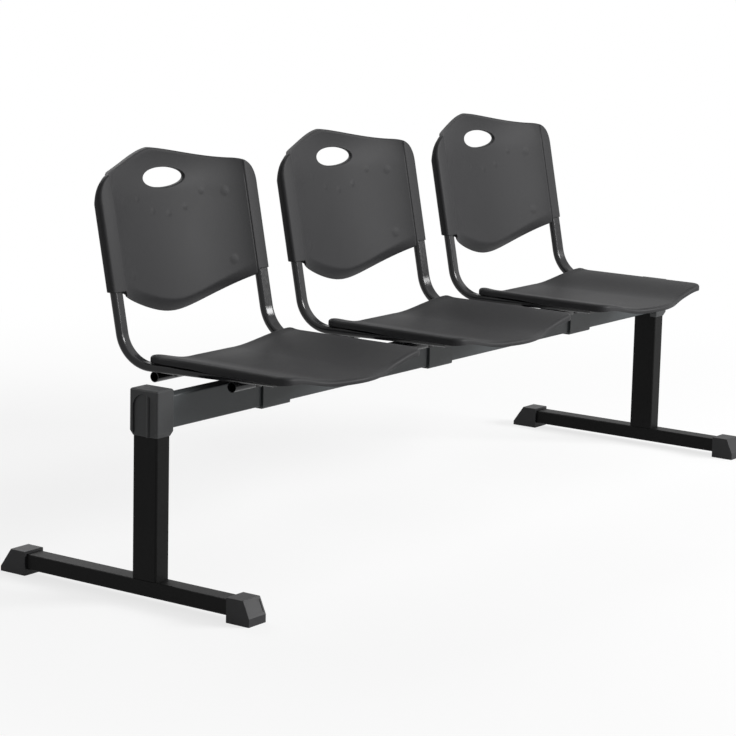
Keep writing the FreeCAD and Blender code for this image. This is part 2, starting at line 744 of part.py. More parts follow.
def upright_line(z):
    """Where the uprights' middle line stands behind the beam, at a height."""
    return size("upright_back") + math.tan(lean) * (z - rail_z)


def rail_heading(sign):
    """The way that a rail runs from its upright to the front."""
    return Vector(-sign * math.sin(yaw), -math.cos(yaw), 0)


def tube_rotation(sign):
    """How a side frame's bend plane is turned: Z up the upright, Y to the rear."""
    up = Vector(0, math.sin(lean), math.cos(lean))
    turn = math.radians(measure(TURN))
    behind = (rail_heading(sign) + up * math.cos(turn)) * (-1 / math.sin(turn))
    return FreeCAD.Rotation(behind.cross(up), behind, up, "ZXY")


def seat_screw_places():
    """Where the seat's screws stand on the rails."""
    places = []
    for sign in (-1, 1):
        for y in (size("seat_screw_rear"), -size("seat_screw_front")):
            places.append((sign * rail_middle(y), y))
    return places


def back_screw_places(side):
    """The middle of each back screw on the upright's line, and its heading forward."""
    height = size("back_screw_height")
    middle = Vector(SIDES[side] * size("upright_spread") / 2, upright_line(height), height)
    return middle, Vector(0, -math.cos(lean), math.sin(lean))


def make_side_frame(chair, side):
    """One flat oval tube, bent from the seat's rail up into the back's upright."""
    body = new_body("SideTube")
    section = new_sketch(body, "XY_Plane", "TubeSection")
    draw_flat_oval(section, "Sizes.tube_width", "Sizes.tube_thickness")
    draw_flat_oval(
        section,
        "Sizes.tube_width - 2 * Sizes.tube_wall",
        "Sizes.tube_thickness - 2 * Sizes.tube_wall",
    )
    path = new_sketch(body, "YZ_Plane", "TubePath")
    draw_bend(path)
    pipe = body.newObject("PartDesign::AdditivePipe", "Tube")
    pipe.Profile = section
    pipe.Spine = (path, ["Edge1", "Edge2", "Edge3"])
    doc.recompute()
    sign = SIDES[side]
    top = Vector(sign * size("upright_spread") / 2, upright_line(size("upright_top")),
                 size("upright_top"))
    body.Placement = FreeCAD.Placement(top, tube_rotation(sign))
    holes = []
    play = "Sizes.hole_play"
    through = "Sizes.tube_thickness + 2 * (Sizes.rail_gap + Sizes.drill_overrun)"
    for x, y in seat_screw_places():
        if x * sign > 0:
            place = at(x, y, screw_seat - size("drill_overrun"))
            radius = f"Sizes.seat_screw / 2 + {play}"
            holes.append(make_cylinder(radius, through, place))
    middle, heading = back_screw_places(side)
    start = middle - heading * (size("tube_thickness") / 2 + size("drill_overrun"))
    radius = f"Sizes.back_screw / 2 + {play}"
    holes.append(make_cylinder(radius, "Sizes.tube_thickness / 2", pointing(start, heading)))
    drilled = cut(body, join(*holes))
    finish_part(drilled, f"side_frame_{side}_{chair}", at(chair_middles[chair], post_y, 0))


def draw_bend(sketch):
    """Down the upright, round the bend and forward along the rail, all in one plane."""
    down = measure(f"{UPRIGHT_LENGTH} - {BEND_START}")
    straight = measure(f"{RAIL_LENGTH} - {BEND_START}")
    radius = size("bend_radius")
    turn = math.radians(measure(TURN))
    bend_end = Vector(-radius * (1 - math.cos(turn)), -down - radius * math.sin(turn), 0)
    ahead = Vector(-math.sin(turn), -math.cos(turn), 0)
    sketch.addGeometry(Part.LineSegment(Vector(0, 0, 0), Vector(0, -down, 0)))
    circle = Part.Circle(Vector(-radius, -down, 0), Vector(0, 0, 1), radius)
    sketch.addGeometry(Part.ArcOfCircle(circle, -turn, 0))
    sketch.addGeometry(Part.LineSegment(bend_end, bend_end + ahead * straight))
    sketch.addConstraint(Sketcher.Constraint("Coincident", 0, 1, -1, 1))
    sketch.addConstraint(Sketcher.Constraint("PointOnObject", 0, 2, -2))
    sketch.addConstraint(Sketcher.Constraint("Tangent", 0, 2, 1, 2))
    sketch.addConstraint(Sketcher.Constraint("Tangent", 1, 1, 2, 1))
    bind(sketch, "Radius", 1, formula="Sizes.bend_radius")
    bind(sketch, "DistanceY", 0, 2, -1, 1, formula=f"{UPRIGHT_LENGTH} - {BEND_START}")
    along = f"({RAIL_LENGTH} - {BEND_START})"
    bend = "Sizes.bend_radius"
    bind(sketch, "DistanceX", -1, 1, 2, 2,
         formula=f"-{bend} * (1 - cos({TURN})) - {along} * sin({TURN})")
    bind(sketch, "DistanceY", -1, 1, 2, 2,
         formula=f"{BEND_START} - {UPRIGHT_LENGTH} - {bend} * sin({TURN}) - {along} * cos({TURN})")


def make_cross_tube(chair, place):
    """A round tube welded under both rails."""
    y = size("cross_rear") if place == "rear" else -size("cross_front")
    where = "Sizes.cross_rear" if place == "rear" else "-Sizes.cross_front"
    reach = f"Sizes.upright_spread / 2 - tan({YAW}) * (Sizes.upright_back - {where})"
    length = f"2 * ({reach} + Sizes.cross_{place}_weld)"
    start = Vector(-measure(length) / 2, y, measure(CROSS_HEIGHT))
    facing = pointing(start, Vector(1, 0, 0))
    outer = make_cylinder("Sizes.cross_diameter / 2", length, facing)
    bore = make_cylinder("Sizes.cross_diameter / 2 - Sizes.cross_wall", length, facing)
    finish_part(cut(outer, bore), f"cross_tube_{place}_{chair}",
                at(chair_middles[chair], post_y, 0))


def clamp_bolt_places():
    """Where the clamp's bolts stand, in front of the beam and behind it."""
    flange = size("beam_depth") / 2 + size("strap_play") + size("strap_thickness")
    y = flange + size("strap_flange") / 2
    return [
        (x_sign * size("clamp_bolt_spacing") / 2, y_sign * y)
        for x_sign in (-1, 1)
        for y_sign in (-1, 1)
    ]


CLAMP_Y = ("(Sizes.beam_depth / 2 + Sizes.strap_play + Sizes.strap_thickness"
           " + Sizes.strap_flange / 2)")


def draw_clamp_holes(sketch):
    for x_sign in ("", "-"):
        for y_sign in ("", "-"):
            draw_circle(sketch, f"{x_sign}Sizes.clamp_bolt_spacing / 2",
                        f"{y_sign}{CLAMP_Y}", "Sizes.clamp_bolt + 2 * Sizes.hole_play")


def make_saddle(chair):
    """A plate between the cross tubes that lies on the beam and takes the clamp."""
    body = new_body("Saddle")
    sketch = new_sketch(body, "XY_Plane", "SaddlePlate")
    half = "Sizes.saddle_width / 2"
    front = "Sizes.cross_diameter / 2 - Sizes.cross_front"
    rear = "Sizes.cross_rear - Sizes.cross_diameter / 2"
    draw_outline(sketch, [(f"-{half}", front), (half, front), (half, rear), (f"-{half}", rear)])
    draw_clamp_holes(sketch)
    pad(body, sketch, "Sizes.saddle_thickness")
    finish_part(body, f"saddle_plate_{chair}",
                at(chair_middles[chair], post_y, size("beam_top")))


def make_strap(chair):
    """A strap bent round the beam's front, underside and back, with two flanges."""
    body = new_body("Strap")
    profile = new_sketch(body, "YZ_Plane", "StrapProfile")
    inner = "(Sizes.beam_depth / 2 + Sizes.strap_play)"
    outer = f"({inner} + Sizes.strap_thickness)"
    tip = f"({outer} + Sizes.strap_flange)"
    floor = "(-Sizes.beam_height - Sizes.strap_play)"
    under = "-Sizes.strap_thickness"
    draw_outline(profile, [
        (inner, "0"),
        (inner, floor),
        (f"-{inner}", floor),
        (f"-{inner}", "0"),
        (f"-{tip}", "0"),
        (f"-{tip}", under),
        (f"-{outer}", under),
        (f"-{outer}", f"{floor} - Sizes.strap_thickness"),
        (outer, f"{floor} - Sizes.strap_thickness"),
        (outer, under),
        (tip, under),
        (tip, "0"),
    ])
    pad(body, profile, "Sizes.strap_width", symmetric=True)
    low = -size("beam_height") - size("strap_play") - size("strap_thickness")

    def outer_bend(edge):
        return runs_along(edge, Vector(1, 0, 0)) and edge.CenterOfMass.z < low + NEAR

    round_edges(body, outer_bend, "Sizes.strap_bend")
    holes = new_sketch(body, "XY_Plane", "StrapHoles")
    draw_clamp_holes(holes)
    pocket(body, holes, "Sizes.strap_thickness * 2")
    finish_part(body, f"clamp_strap_{chair}",
                at(chair_middles[chair], post_y, size("beam_top")))


def make_clamp_bolts(chair):
    """Four hexagon bolts up through the strap's flanges and the saddle plate."""
    length = ("Sizes.strap_thickness + Sizes.saddle_thickness + Sizes.clamp_nut_height"
              " + Sizes.clamp_bolt_tail")
    bolts = []
    for x, y in clamp_bolt_places():
        seat = -size("strap_thickness")
        head = make_hexagon("Sizes.clamp_bolt_head", "Sizes.clamp_bolt_head_height",
                            at(x, y, seat - size("clamp_bolt_head_height")))
        shank = make_cylinder("Sizes.clamp_bolt / 2", length, at(x, y, seat))
        bolts.append(join(head, shank))
    finish_part(group(bolts), f"clamp_bolts_{chair}",
                at(chair_middles[chair], post_y, size("beam_top")))


def make_clamp_nuts(chair):
    """The nuts on the saddle plate."""
    nuts = []
    for x, y in clamp_bolt_places():
        place = at(x, y, size("saddle_thickness"))
        block = make_hexagon("Sizes.clamp_bolt_head", "Sizes.clamp_nut_height", place)
        bore = make_cylinder("Sizes.clamp_bolt / 2 + Sizes.hole_play",
                             "Sizes.clamp_nut_height", place)
        nuts.append(cut(block, bore))
    finish_part(group(nuts), f"clamp_nuts_{chair}",
                at(chair_middles[chair], post_y, size("beam_top")))


def make_plugs(chair):
    """Plastic plugs in the open front ends of the two rails."""
    plugs = []
    for sign in (-1, 1):
        x = sign * rail_middle(-size("rail_front"))
        heading = rail_heading(sign)
        across = tube_rotation(sign).multVec(Vector(1, 0, 0))
        turned = FreeCAD.Rotation(across, heading.cross(across), heading, "ZXY")
        end = FreeCAD.Placement(Vector(x, -size("rail_front"), rail_z), turned)
        inside = FreeCAD.Placement(end.Base - heading * size("plug_reach"), turned)
        bore = "2 * Sizes.tube_wall + 2 * Sizes.hole_play"
        head = extrude_oval("Sizes.tube_width", "Sizes.tube_thickness", "Sizes.plug_head", end)
        spigot = extrude_oval(f"Sizes.tube_width - ({bore})", f"Sizes.tube_thickness - ({bore})",
                              "Sizes.plug_reach", inside)
        plugs.append(join(head, spigot))
    finish_part(group(plugs), f"tube_plugs_{chair}", at(chair_middles[chair], post_y, 0))


def extrude_oval(width, thickness, length, place):
    """A flat oval bar along the Z axis of its place."""
    sketch = doc.addObject("Sketcher::SketchObject", "OvalSection")
    draw_flat_oval(sketch, width, thickness)
    sketch.Placement = place
    bar = doc.addObject("Part::Extrusion", "OvalBar")
    bar.Base = sketch
    bar.DirMode = "Normal"
    bar.setExpression("LengthFwd", length)
    bar.Solid = True
    return bar


# Surfaces that are functions of two parameters

def surface(function, across, along):
    """A smooth face through the points that a function gives on a grid."""
    points = [[function(u, v) for v in along] for u in across]
    spline = Part.BSplineSurface()
    spline.interpolate(points)
    return spline.toShape()


def spread(start, end, count):
    """Evenly spaced numbers from start to end."""
    return [start + (end - start) * step / (count - 1) for step in range(count)]


def smooth_step(value):
    """From 0 to 1 in a soft ramp while the value goes from 0 to 1."""
    value = min(max(value, 0.0), 1.0)
    return (1 - math.cos(math.pi * value)) / 2


def prism(edges, direction):
    """A solid that carries a closed line of edges along a direction."""
    wire = Part.Wire(Part.__sortEdges__(edges))
    return Part.Face(wire).extrude(direction)


def curve(points):
    """A smooth edge through points."""
    spline = Part.BSplineCurve()
    spline.interpolate([Vector(*point) for point in points])
    return spline.toShape()


def parallel_edges(solid, direction, wanted):
    """The straight edges of a solid along a direction that a test picks."""
    return [edge for edge in solid.Edges if runs_along(edge, direction) and wanted(edge)]


# Seat shells

def seat_ramp(x):
    """How far up the slope between flat middle and side a place is, from 0 to 1."""
    flat = size("seat_flat") / 2
    return smooth_step((abs(x) - flat) / (size("seat_width") / 2 - flat))


def seat_top(x, y):
    """Height of the upper face."""
    middle = (size("seat_rear") - size("seat_front")) / 2
    half = (size("seat_rear") + size("seat_front")) / 2
    along = min(abs(y - middle) / half, 1.0)
    dip = size("seat_dip") * (1 - seat_ramp(x)) * (1 - along * along)
    return size("seat_floor") + size("seat_rise") * seat_ramp(x) - dip + seat_rim(x, y)


def seat_rim(x, y):
    """How far the strip along the rear edge turns up."""
    inner = size("seat_width") / 2 - size("seat_tip_width")
    tip = size("seat_tip_rise") * smooth_step((abs(x) - inner) / size("seat_tip_width"))
    near = max(1 - (seat_rear_edge(x) - y) / size("seat_rim_width"), 0.0)
    return (size("seat_rim_rise") + tip) * near * near


def seat_bottom(x, y):
    """Height of the turned-down edge's underside; it clears the rails at the rear."""
    side = min(abs(x) / (size("seat_width") / 2), 1.0) ** size("seat_skirt_power")
    to_rear = smooth_step((y + size("seat_skirt_change")) / size("seat_skirt_blend"))
    skirt = size("seat_skirt") + (size("seat_rear_skirt") - size("seat_skirt")) * to_rear
    depth = size("seat_lip") + (skirt - size("seat_lip")) * side
    return size("seat_floor") + size("seat_rise") * seat_ramp(x) - depth


def seat_front_edge(x):
    """The front edge: level with the sides, with a soft bow in the middle."""
    bow = 1 - smooth_step(2 * abs(x) / size("seat_bow_width"))
    return -size("seat_front") - size("seat_front_bow") * bow


def seat_rear_edge(x):
    """The rear edge: straight in the middle, then swept forward to the corners."""
    start = size("seat_rear_straight") / 2
    reach = max(abs(x) - start, 0.0) / (size("seat_width") / 2 - start)
    return size("seat_rear") - size("seat_rear_bow") * reach ** size("seat_rear_power")


def seat_block(inset, low, high):
    """The seat's outline, drawn in by an inset, as an upright block."""
    half = size("seat_width") / 2 - inset
    stations = spread(-half, half, 27)
    front = curve([(x, seat_front_edge(x) + inset, low) for x in stations])
    rear = curve([(x, seat_rear_edge(x) - inset, low) for x in stations])
    sides = [
        Part.LineSegment(front.valueAt(front.FirstParameter),
                         rear.valueAt(rear.FirstParameter)).toShape(),
        Part.LineSegment(front.valueAt(front.LastParameter),
                         rear.valueAt(rear.LastParameter)).toShape(),
    ]
    block = prism([front, rear] + sides, Vector(0, 0, high - low))
    for corner, sign in (("seat_front_corner", -1), ("seat_rear_corner", 1)):
        edges = parallel_edges(block, Vector(0, 0, 1),
                               lambda edge: edge.CenterOfMass.y * sign > 0)
        block = block.makeFillet(size(corner) - inset, edges)
    return block


def seat_face(across, height):
    """A face over the whole seat, with closer rows where the rear edge turns up."""
    rim = size("seat_rim_width")
    length = size("seat_rear") + size("seat_front") + size("seat_front_bow")
    rear_rows = spread(PAST, -rim, 8)
    front_rows = spread(-rim, -length - PAST, 14)

    def point(x, back):
        y = seat_rear_edge(x) + back
        return Vector(x, y, height(x, y))

    return surface(point, across, rear_rows + front_rows[1:])


def make_seat_shape():
    """A turned-down shell with bosses that stand on the rails."""
    half = size("seat_width") / 2 + PAST
    across = spread(-half, half, 45)
    wall = size("seat_wall")
    below = Vector(0, 0, -DEEP)
    above = Vector(0, 0, DEEP)
    top = seat_face(across, seat_top)
    inner = seat_face(across, lambda x, y: seat_top(x, y) - wall)
    bottom = seat_face(across, seat_bottom)
    low, high = size("seat_floor") - DEEP / 2, size("seat_floor") + DEEP / 2
    block = seat_block(0.0, low, high).common(top.extrude(below)).common(bottom.extrude(above))
    upper = max(block.Faces, key=lambda face: face.CenterOfMass.z)
    block = block.makeFillet(size("seat_round"), upper.Edges)
    hollow = seat_block(wall, low, high).common(inner.extrude(below))
    shell = block.cut(hollow)
    bosses = []
    holes = []
    for x, y in seat_screw_places():
        foot = Vector(x, y, boss_foot)
        bosses.append(Part.makeCylinder(size("boss_diameter") / 2, DEEP, foot))
        radius = size("seat_screw") / 2 + size("hole_play")
        depth = size("seat_screw_grip") + size("end_play")
        holes.append(Part.makeCylinder(radius, depth, foot))
    middle = seat_face(across, lambda x, y: seat_top(x, y) - wall / 2)
    pillars = Part.makeCompound(bosses).common(middle.extrude(below))
    return shell.fuse(pillars).cut(Part.makeCompound(holes))


def make_seat_screws(chair):
    """Screws up through both walls of each rail into the seat's bosses."""
    length = "Sizes.tube_thickness + 2 * Sizes.rail_gap + Sizes.seat_screw_grip"
    screws = [
        make_screw("Sizes.seat_screw", "Sizes.seat_screw_head", "Sizes.seat_screw_head_height",
                   length, at(x, y, screw_seat))
        for x, y in seat_screw_places()
    ]
    finish_part(group(screws), f"seat_screws_{chair}", at(chair_middles[chair], post_y, 0))


# Back shells

def back_front(x, z):
    """The front face: leaning, hollow across, and rolled back at its top and bottom."""
    set_back = size("back_set") - size("back_hollow") * (x / size("back_groove")) ** 2
    start = size("back_shoulder") + size("back_crown") - size("back_curl_height")
    curl = size("back_curl") * fading(x, size("back_curl_width"))
    curled = curl * (max(z - start, 0.0) / size("back_curl_height")) ** 2
    roll = size("back_belly_roll") * fading(x, size("back_roll_width"))
    above = (z - back_bottom_edge(x)) / size("back_roll_height")
    rolled = roll * max(1 - above, 0.0) ** 2
    return upright_line(z) + set_back + curled + rolled


def fading(x, width):
    """From 1 in the middle down to 0 at both ends of a width."""
    return max(1 - (2 * x / width) ** 2, 0.0)


def back_top_edge(x):
    """Height of the top edge: a soft gable between the corners."""
    reach = min(2 * abs(x) / size("back_gable"), 1.0)
    slope = (1 - reach ** size("back_gable_round")) ** size("back_gable_flare")
    return size("back_shoulder") + size("back_crown") * slope


def back_bottom_edge(x):
    """Height of the bottom edge: a wide V with a round middle."""
    rounding = size("back_belly_round")
    slope = size("back_belly_slope") * x
    return size("back_belly") + math.hypot(rounding, slope) - rounding


def sleeve_edge():
    return size("upright_spread") / 2 + size("tube_width") / 2 + size("sleeve_wall")


def back_outline(inset):
    """The back's outline seen from the front, drawn in by an inset, as a deep block."""
    half = sleeve_edge() - inset
    inner = size("back_groove") + size("back_lap")
    stations = spread(-half, half, 41)
    top = curve([(x, 0, back_top_edge(x) - inset) for x in stations])
    middle = spread(-inner, inner, 33)
    bottom = curve([(x, 0, back_bottom_edge(x) + inset) for x in middle])
    low = size("sleeve_bottom") + inset
    edges = [top, bottom]
    for sign, end in ((-1, "FirstParameter"), (1, "LastParameter")):
        shoulder = top.valueAt(getattr(top, end))
        belly = bottom.valueAt(getattr(bottom, end))
        knee = Vector(belly.x, 0, low)
        hip = Vector(sign * half, 0, low)
        edges.append(Part.LineSegment(belly, knee).toShape())
        edges.append(Part.LineSegment(knee, hip).toShape())
        edges.append(Part.LineSegment(hip, shoulder).toShape())
    block = prism(edges, Vector(0, DEEP, 0))
    high = size("back_shoulder") - size("back_corner")
    corners = parallel_edges(block, Vector(0, 1, 0), lambda edge: edge.CenterOfMass.z > high)
    return block.makeFillet(size("back_corner") - inset, corners)


def handle_block(offset):
    """The handle hole's outline, grown by an offset, as a deep block."""
    half = size("handle_width") / 2 + offset
    rise = size("handle_height") / 2 + offset
    z = size("handle_middle")
    middle = Vector(0, 0, z)
    oval = Part.Ellipse(Vector(half, 0, z), Vector(0, 0, z + rise), middle).toShape()
    return prism([oval], Vector(0, DEEP, 0))


def dome_places():
    """Middles and diameters of the small round marks on the back."""
    places = []
    for sign in (-1, 1):
        for z in (size("dome_low"), size("dome_high")):
            places.append((sign * size("dome_spread"), z, size("dome_large")))
    for step in range(-2, 3):
        x = step * size("dome_row_step")
        z = size("dome_row") + size("dome_row_rise") * step * step
        places.append((x, z, size("dome_small")))
    return places


def make_sleeve(sign):
    """The thick side of the back that slides down over one upright."""
    half_depth = size("tube_thickness") / 2 + size("sleeve_inner_wall")
    low = size("sleeve_bottom")
    roof = size("upright_top") + size("sleeve_roof")
    thin = roof + size("sleeve_thinning")
    high = back_top_edge(0)
    tip = size("sleeve_tip")
    profile = [
        (upright_line(low) - half_depth, low),
        (upright_line(high) - half_depth, high),
        (upright_line(high) - half_depth + tip, high),
        (upright_line(thin) - half_depth + tip, thin),
        (upright_line(roof) + half_depth, roof),
        (upright_line(low) + half_depth, low),
    ]
    inner = size("back_groove") + size("groove_width")
    points = [Vector(sign * inner, y, z) for y, z in profile]
    wire = Part.makePolygon(points + points[:1])
    block = Part.Face(wire).extrude(Vector(sign * (sleeve_edge() - inner), 0, 0))
    edge = sleeve_edge() - NEAR
    outer = [item for item in block.Edges
             if abs(item.CenterOfMass.x) > edge and item.Length > roof - low]
    return block.makeFillet(size("sleeve_round"), outer)


def make_bore(side):
    """Room for one upright inside its sleeve, open below."""
    sign = SIDES[side]
    play = size("sleeve_play")
    radius = size("tube_thickness") / 2 + play
    flat = size("tube_width") / 2 - size("tube_thickness") / 2
    top = size("upright_top") + size("end_play")
    start = size("sleeve_bottom") - PAST
    base = Vector(sign * size("upright_spread") / 2, upright_line(start), start)
    length = (top - start) / math.cos(lean)
    slab = Part.makeBox(2 * flat, 2 * radius, length, Vector(-flat, -radius, 0))
    ends = [Part.makeCylinder(radius, length, Vector(x, 0, 0)) for x in (-flat, flat)]
    bore = slab.fuse(ends).removeSplitter()
    bore.Placement = FreeCAD.Placement(base, tube_rotation(sign))
    return bore


def back_face():
    """The front face as one smooth face that runs past the back's outline.

    Its rows follow the bottom edge below and straighten towards the top, and they lie
    closer together where the bottom edge rolls back.
    """
    half = size("back_groove") + size("back_lap")
    ceiling = back_top_edge(0) + PAST
    roll_rows = spread(-PAST / 2, size("back_roll_height"), 7)
    share_rows = spread(0.0, 1.0, 24)

    def point(x, row):
        base = back_bottom_edge(x)
        if row < len(roll_rows):
            z = base + roll_rows[row]
        else:
            start = base + roll_rows[-1]
            z = start + (ceiling - start) * share_rows[row - len(roll_rows) + 1]
        return Vector(x, back_front(x, z), z)

    return surface(point, spread(-half, half, 25), range(len(roll_rows) + len(share_rows) - 1))


def make_back_shape():
    """A curved sheet with a rolled edge, a handle hole and two sleeves."""
    wall = size("back_wall")
    front = back_face()
    outline = back_outline(0.0)
    sheet_block = front.extrude(Vector(0, wall, 0)).common(outline)
    ring = outline.cut(back_outline(wall))
    rim = front.extrude(Vector(0, size("back_rim"), 0)).common(ring)
    collar = handle_block(wall).cut(handle_block(0.0))
    handle_rim = front.extrude(Vector(0, size("handle_rim"), 0)).common(collar)
    shell = sheet_block.fuse([rim, handle_rim])
    sleeves = [make_sleeve(sign).common(outline) for sign in SIDES.values()]
    shell = shell.fuse(sleeves)
    shell = shell.fuse(make_domes(wall))
    for side in SIDES:
        shell = shell.cut(make_bore(side))
    shell = shell.cut(handle_block(0.0))
    screws = []
    reach = size("tube_thickness") + 2 * size("sleeve_inner_wall")
    for side in SIDES:
        middle, heading = back_screw_places(side)
        radius = size("back_screw") / 2 + size("hole_play")
        screws.append(Part.makeCylinder(radius, reach, middle - heading * reach, heading))
    return shell.cut(Part.makeCompound(screws)).removeSplitter()


def make_domes(wall):
    """Low round marks on the front face, each a cap of a ball on a short round foot."""
    rise = size("dome_rise")
    step = size("dome_step")
    domes = []
    for x, z, diameter in dome_places():
        cap = rise - step
        radius = (diameter * diameter / 4 + cap * cap) / (2 * cap)
        ahead = (back_front(x, z + 1) - back_front(x, z - 1)) / 2
        across = (back_front(x + 1, z) - back_front(x - 1, z)) / 2
        outward = Vector(across, -1, ahead)
        outward.normalize()
        middle = Vector(x, back_front(x, z), z)
        foot = middle - outward * (wall / 2)
        post = Part.makeCylinder(diameter / 2, wall / 2 + 2 * rise, foot, outward)
        ball = Part.makeSphere(radius, middle - outward * (radius - rise))
        domes.append(post.common(ball))
    return domes


def make_back_screws(chair):
    """Two screws from behind, through the sleeves into the uprights' rear walls."""
    cover = size("sleeve_inner_wall")
    length = "Sizes.sleeve_inner_wall + Sizes.sleeve_play + Sizes.tube_wall + Sizes.back_screw_tip"
    screws = []
    for side in SIDES:
        middle, heading = back_screw_places(side)
        seat = middle - heading * (size("tube_thickness") / 2 + cover)
        screws.append(make_screw("Sizes.back_screw", "Sizes.back_screw_head",
                                 "Sizes.back_screw_head_height", length,
                                 pointing(seat, heading)))
    finish_part(group(screws), f"back_screws_{chair}", at(chair_middles[chair], post_y, 0))


def place_shape(shape, label, place):
    """A sub-part whose shape is worked out above."""
    obj = doc.addObject("Part::Feature", "Shell")
    obj.Shape = shape
    finish_part(obj, label, place)


# The whole bench

make_beam()
for leg in SIDES:
    make_end_plate(leg)
    make_post(leg)
    make_foot_tube(leg)
    make_foot_cap(leg, "front")
    make_foot_cap(leg, "rear")
    make_cover(leg)
    make_leg_bolts(leg)

seat_shape = make_seat_shape()
back_shape = make_back_shape()
for name, middle in chair_middles.items():
    for side in SIDES:
        make_side_frame(name, side)
    for end in ("front", "rear"):
        make_cross_tube(name, end)
    make_saddle(name)
    make_strap(name)
    make_clamp_bolts(name)
    make_clamp_nuts(name)
    make_plugs(name)
    make_seat_screws(name)
    make_back_screws(name)
    place_shape(seat_shape.copy(), f"seat_shell_{name}", at(middle, post_y, 0))
    place_shape(back_shape.copy(), f"back_shell_{name}", at(middle, post_y, 0))

doc.recompute()

# Checks and export

for obj in doc.Objects:
    if "Invalid" in obj.State or "Error" in obj.State:
        raise ValueError(f"{obj.Name} ({obj.Label}) failed: {obj.State}")
for obj in parts:
    if obj.Shape.isNull() or not obj.Shape.isValid():
        raise ValueError(f"{obj.Label} has no valid shape")

os.makedirs("parts", exist_ok=True)
for obj in parts:
    obj.Shape.exportStep(f"parts/{obj.Label}.step")
    box = obj.Shape.BoundBox
    print(f"{obj.Label}: {len(obj.Shape.Solids)} solids, volume {obj.Shape.Volume:.0f},"
          f" x {box.XMin:.1f} to {box.XMax:.1f}, y {box.YMin:.1f} to {box.YMax:.1f},"
          f" z {box.ZMin:.1f} to {box.ZMax:.1f}")
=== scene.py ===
# %% [markdown]
# Beam seating: three moulded chairs on a steel beam.
# The real bench is black all over, so its looks come from gloss and not from colour: fine-grained
# plastic shells, glossy lacquered tubes and a satin powder coat on the beam and the legs.
# The steel pieces keep the shapes they were drawn with. The seats and backs are thin moulded shells
# with rolled edges, and those are worked out here as surfaces.

# %% Load the bench
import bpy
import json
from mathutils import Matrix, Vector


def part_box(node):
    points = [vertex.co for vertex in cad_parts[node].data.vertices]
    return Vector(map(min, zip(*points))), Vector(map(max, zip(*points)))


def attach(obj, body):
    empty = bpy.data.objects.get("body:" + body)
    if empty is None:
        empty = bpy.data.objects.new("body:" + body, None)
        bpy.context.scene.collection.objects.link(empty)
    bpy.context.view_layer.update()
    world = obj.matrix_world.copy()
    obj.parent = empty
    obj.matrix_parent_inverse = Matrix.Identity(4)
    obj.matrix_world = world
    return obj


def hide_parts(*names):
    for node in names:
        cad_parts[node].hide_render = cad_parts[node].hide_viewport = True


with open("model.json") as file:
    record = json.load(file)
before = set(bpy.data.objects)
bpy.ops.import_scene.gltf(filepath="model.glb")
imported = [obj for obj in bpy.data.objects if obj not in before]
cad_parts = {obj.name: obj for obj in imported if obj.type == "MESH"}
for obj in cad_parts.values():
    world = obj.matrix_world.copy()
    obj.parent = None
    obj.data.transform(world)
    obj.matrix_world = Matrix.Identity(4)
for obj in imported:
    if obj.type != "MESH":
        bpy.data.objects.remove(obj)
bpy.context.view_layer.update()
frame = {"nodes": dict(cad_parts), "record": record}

import json
import math

import bmesh
import bpy
import numpy as np
from mathutils import Matrix, Vector

MM = 0.001
CHAIRS = ("left", "middle", "right")
print("pieces in the frame:", len(frame["nodes"]))

# %% [markdown]
# The frame gives where the beam and the chairs are, so nothing here is placed by eye.
# A chair is worked out about its own middle, with distances along Y counted from the beam, and is
# then moved into place as numbers, so that every object stays at the origin.

# %% Places read from the frame
beam_low, beam_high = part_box("beam")
BEAM_Y = (beam_low.y + beam_high.y) / 2


def middle_of(node):
    """The middle of a piece along X."""
    low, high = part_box(node)
    return (low.x + high.x) / 2


CHAIR_X = {chair: middle_of(f"saddle_plate_{chair}") for chair in CHAIRS}
print("chairs stand at", {chair: round(x, 3) for chair, x in CHAIR_X.items()})

# %% [markdown]
# A surface is a grid of points, worked out as whole arrays. The helper below turns such a grid into
# quads. A grid can be closed in either direction, as a tube or a ring is, and several grids can go
# into one mesh, where their shared borders are merged.

# %% Grids into meshes


class Grids:
    """Collects grids of points and makes one mesh of them."""

    def __init__(self):
        self.points = []
        self.faces = []
        self.count = 0

    def add(self, grid, wrap_rows=False, wrap_columns=False, keep=None, flip=False):
        """Adds a grid of shape (rows, columns, 3). keep masks its cells."""
        rows, columns = grid.shape[:2]
        index = np.arange(rows * columns).reshape(rows, columns) + self.count
        if wrap_rows:
            index = np.vstack([index, index[:1]])
        if wrap_columns:
            index = np.hstack([index, index[:, :1]])
        quads = np.stack(
            [index[:-1, :-1], index[1:, :-1], index[1:, 1:], index[:-1, 1:]], axis=-1)
        if keep is not None:
            quads = quads[keep]
        quads = quads.reshape(-1, 4)
        if flip:
            quads = quads[:, ::-1]
        self.points.append(grid.reshape(-1, 3))
        self.faces.append(quads)
        self.count += rows * columns

    def mesh(self, name, weld=2e-6):
        """One mesh in metres, with borders that coincide merged and faces turned outwards."""
        points = np.concatenate(self.points) * MM
        faces = np.concatenate(self.faces)
        mesh = bpy.data.meshes.new(name)
        mesh.from_pydata(points.tolist(), [], faces.tolist())
        work = bmesh.new()
        work.from_mesh(mesh)
        bmesh.ops.remove_doubles(work, verts=work.verts, dist=weld)
        bmesh.ops.dissolve_degenerate(work, dist=1e-7, edges=work.edges)
        bmesh.ops.recalc_face_normals(work, faces=work.faces)
        work.to_mesh(mesh)
        work.free()
        mesh.shade_smooth()
        return mesh


def new_object(mesh, name):
    """An object at the origin that holds a mesh."""
    obj = bpy.data.objects.new(name, mesh)
    bpy.context.scene.collection.objects.link(obj)
    return obj


def copy_to(mesh, name, shift):
    """A copy of a mesh, moved in its points."""
    copied = mesh.copy()
    copied.name = name
    copied.transform(Matrix.Translation(Vector(shift)))
    return new_object(copied, name)


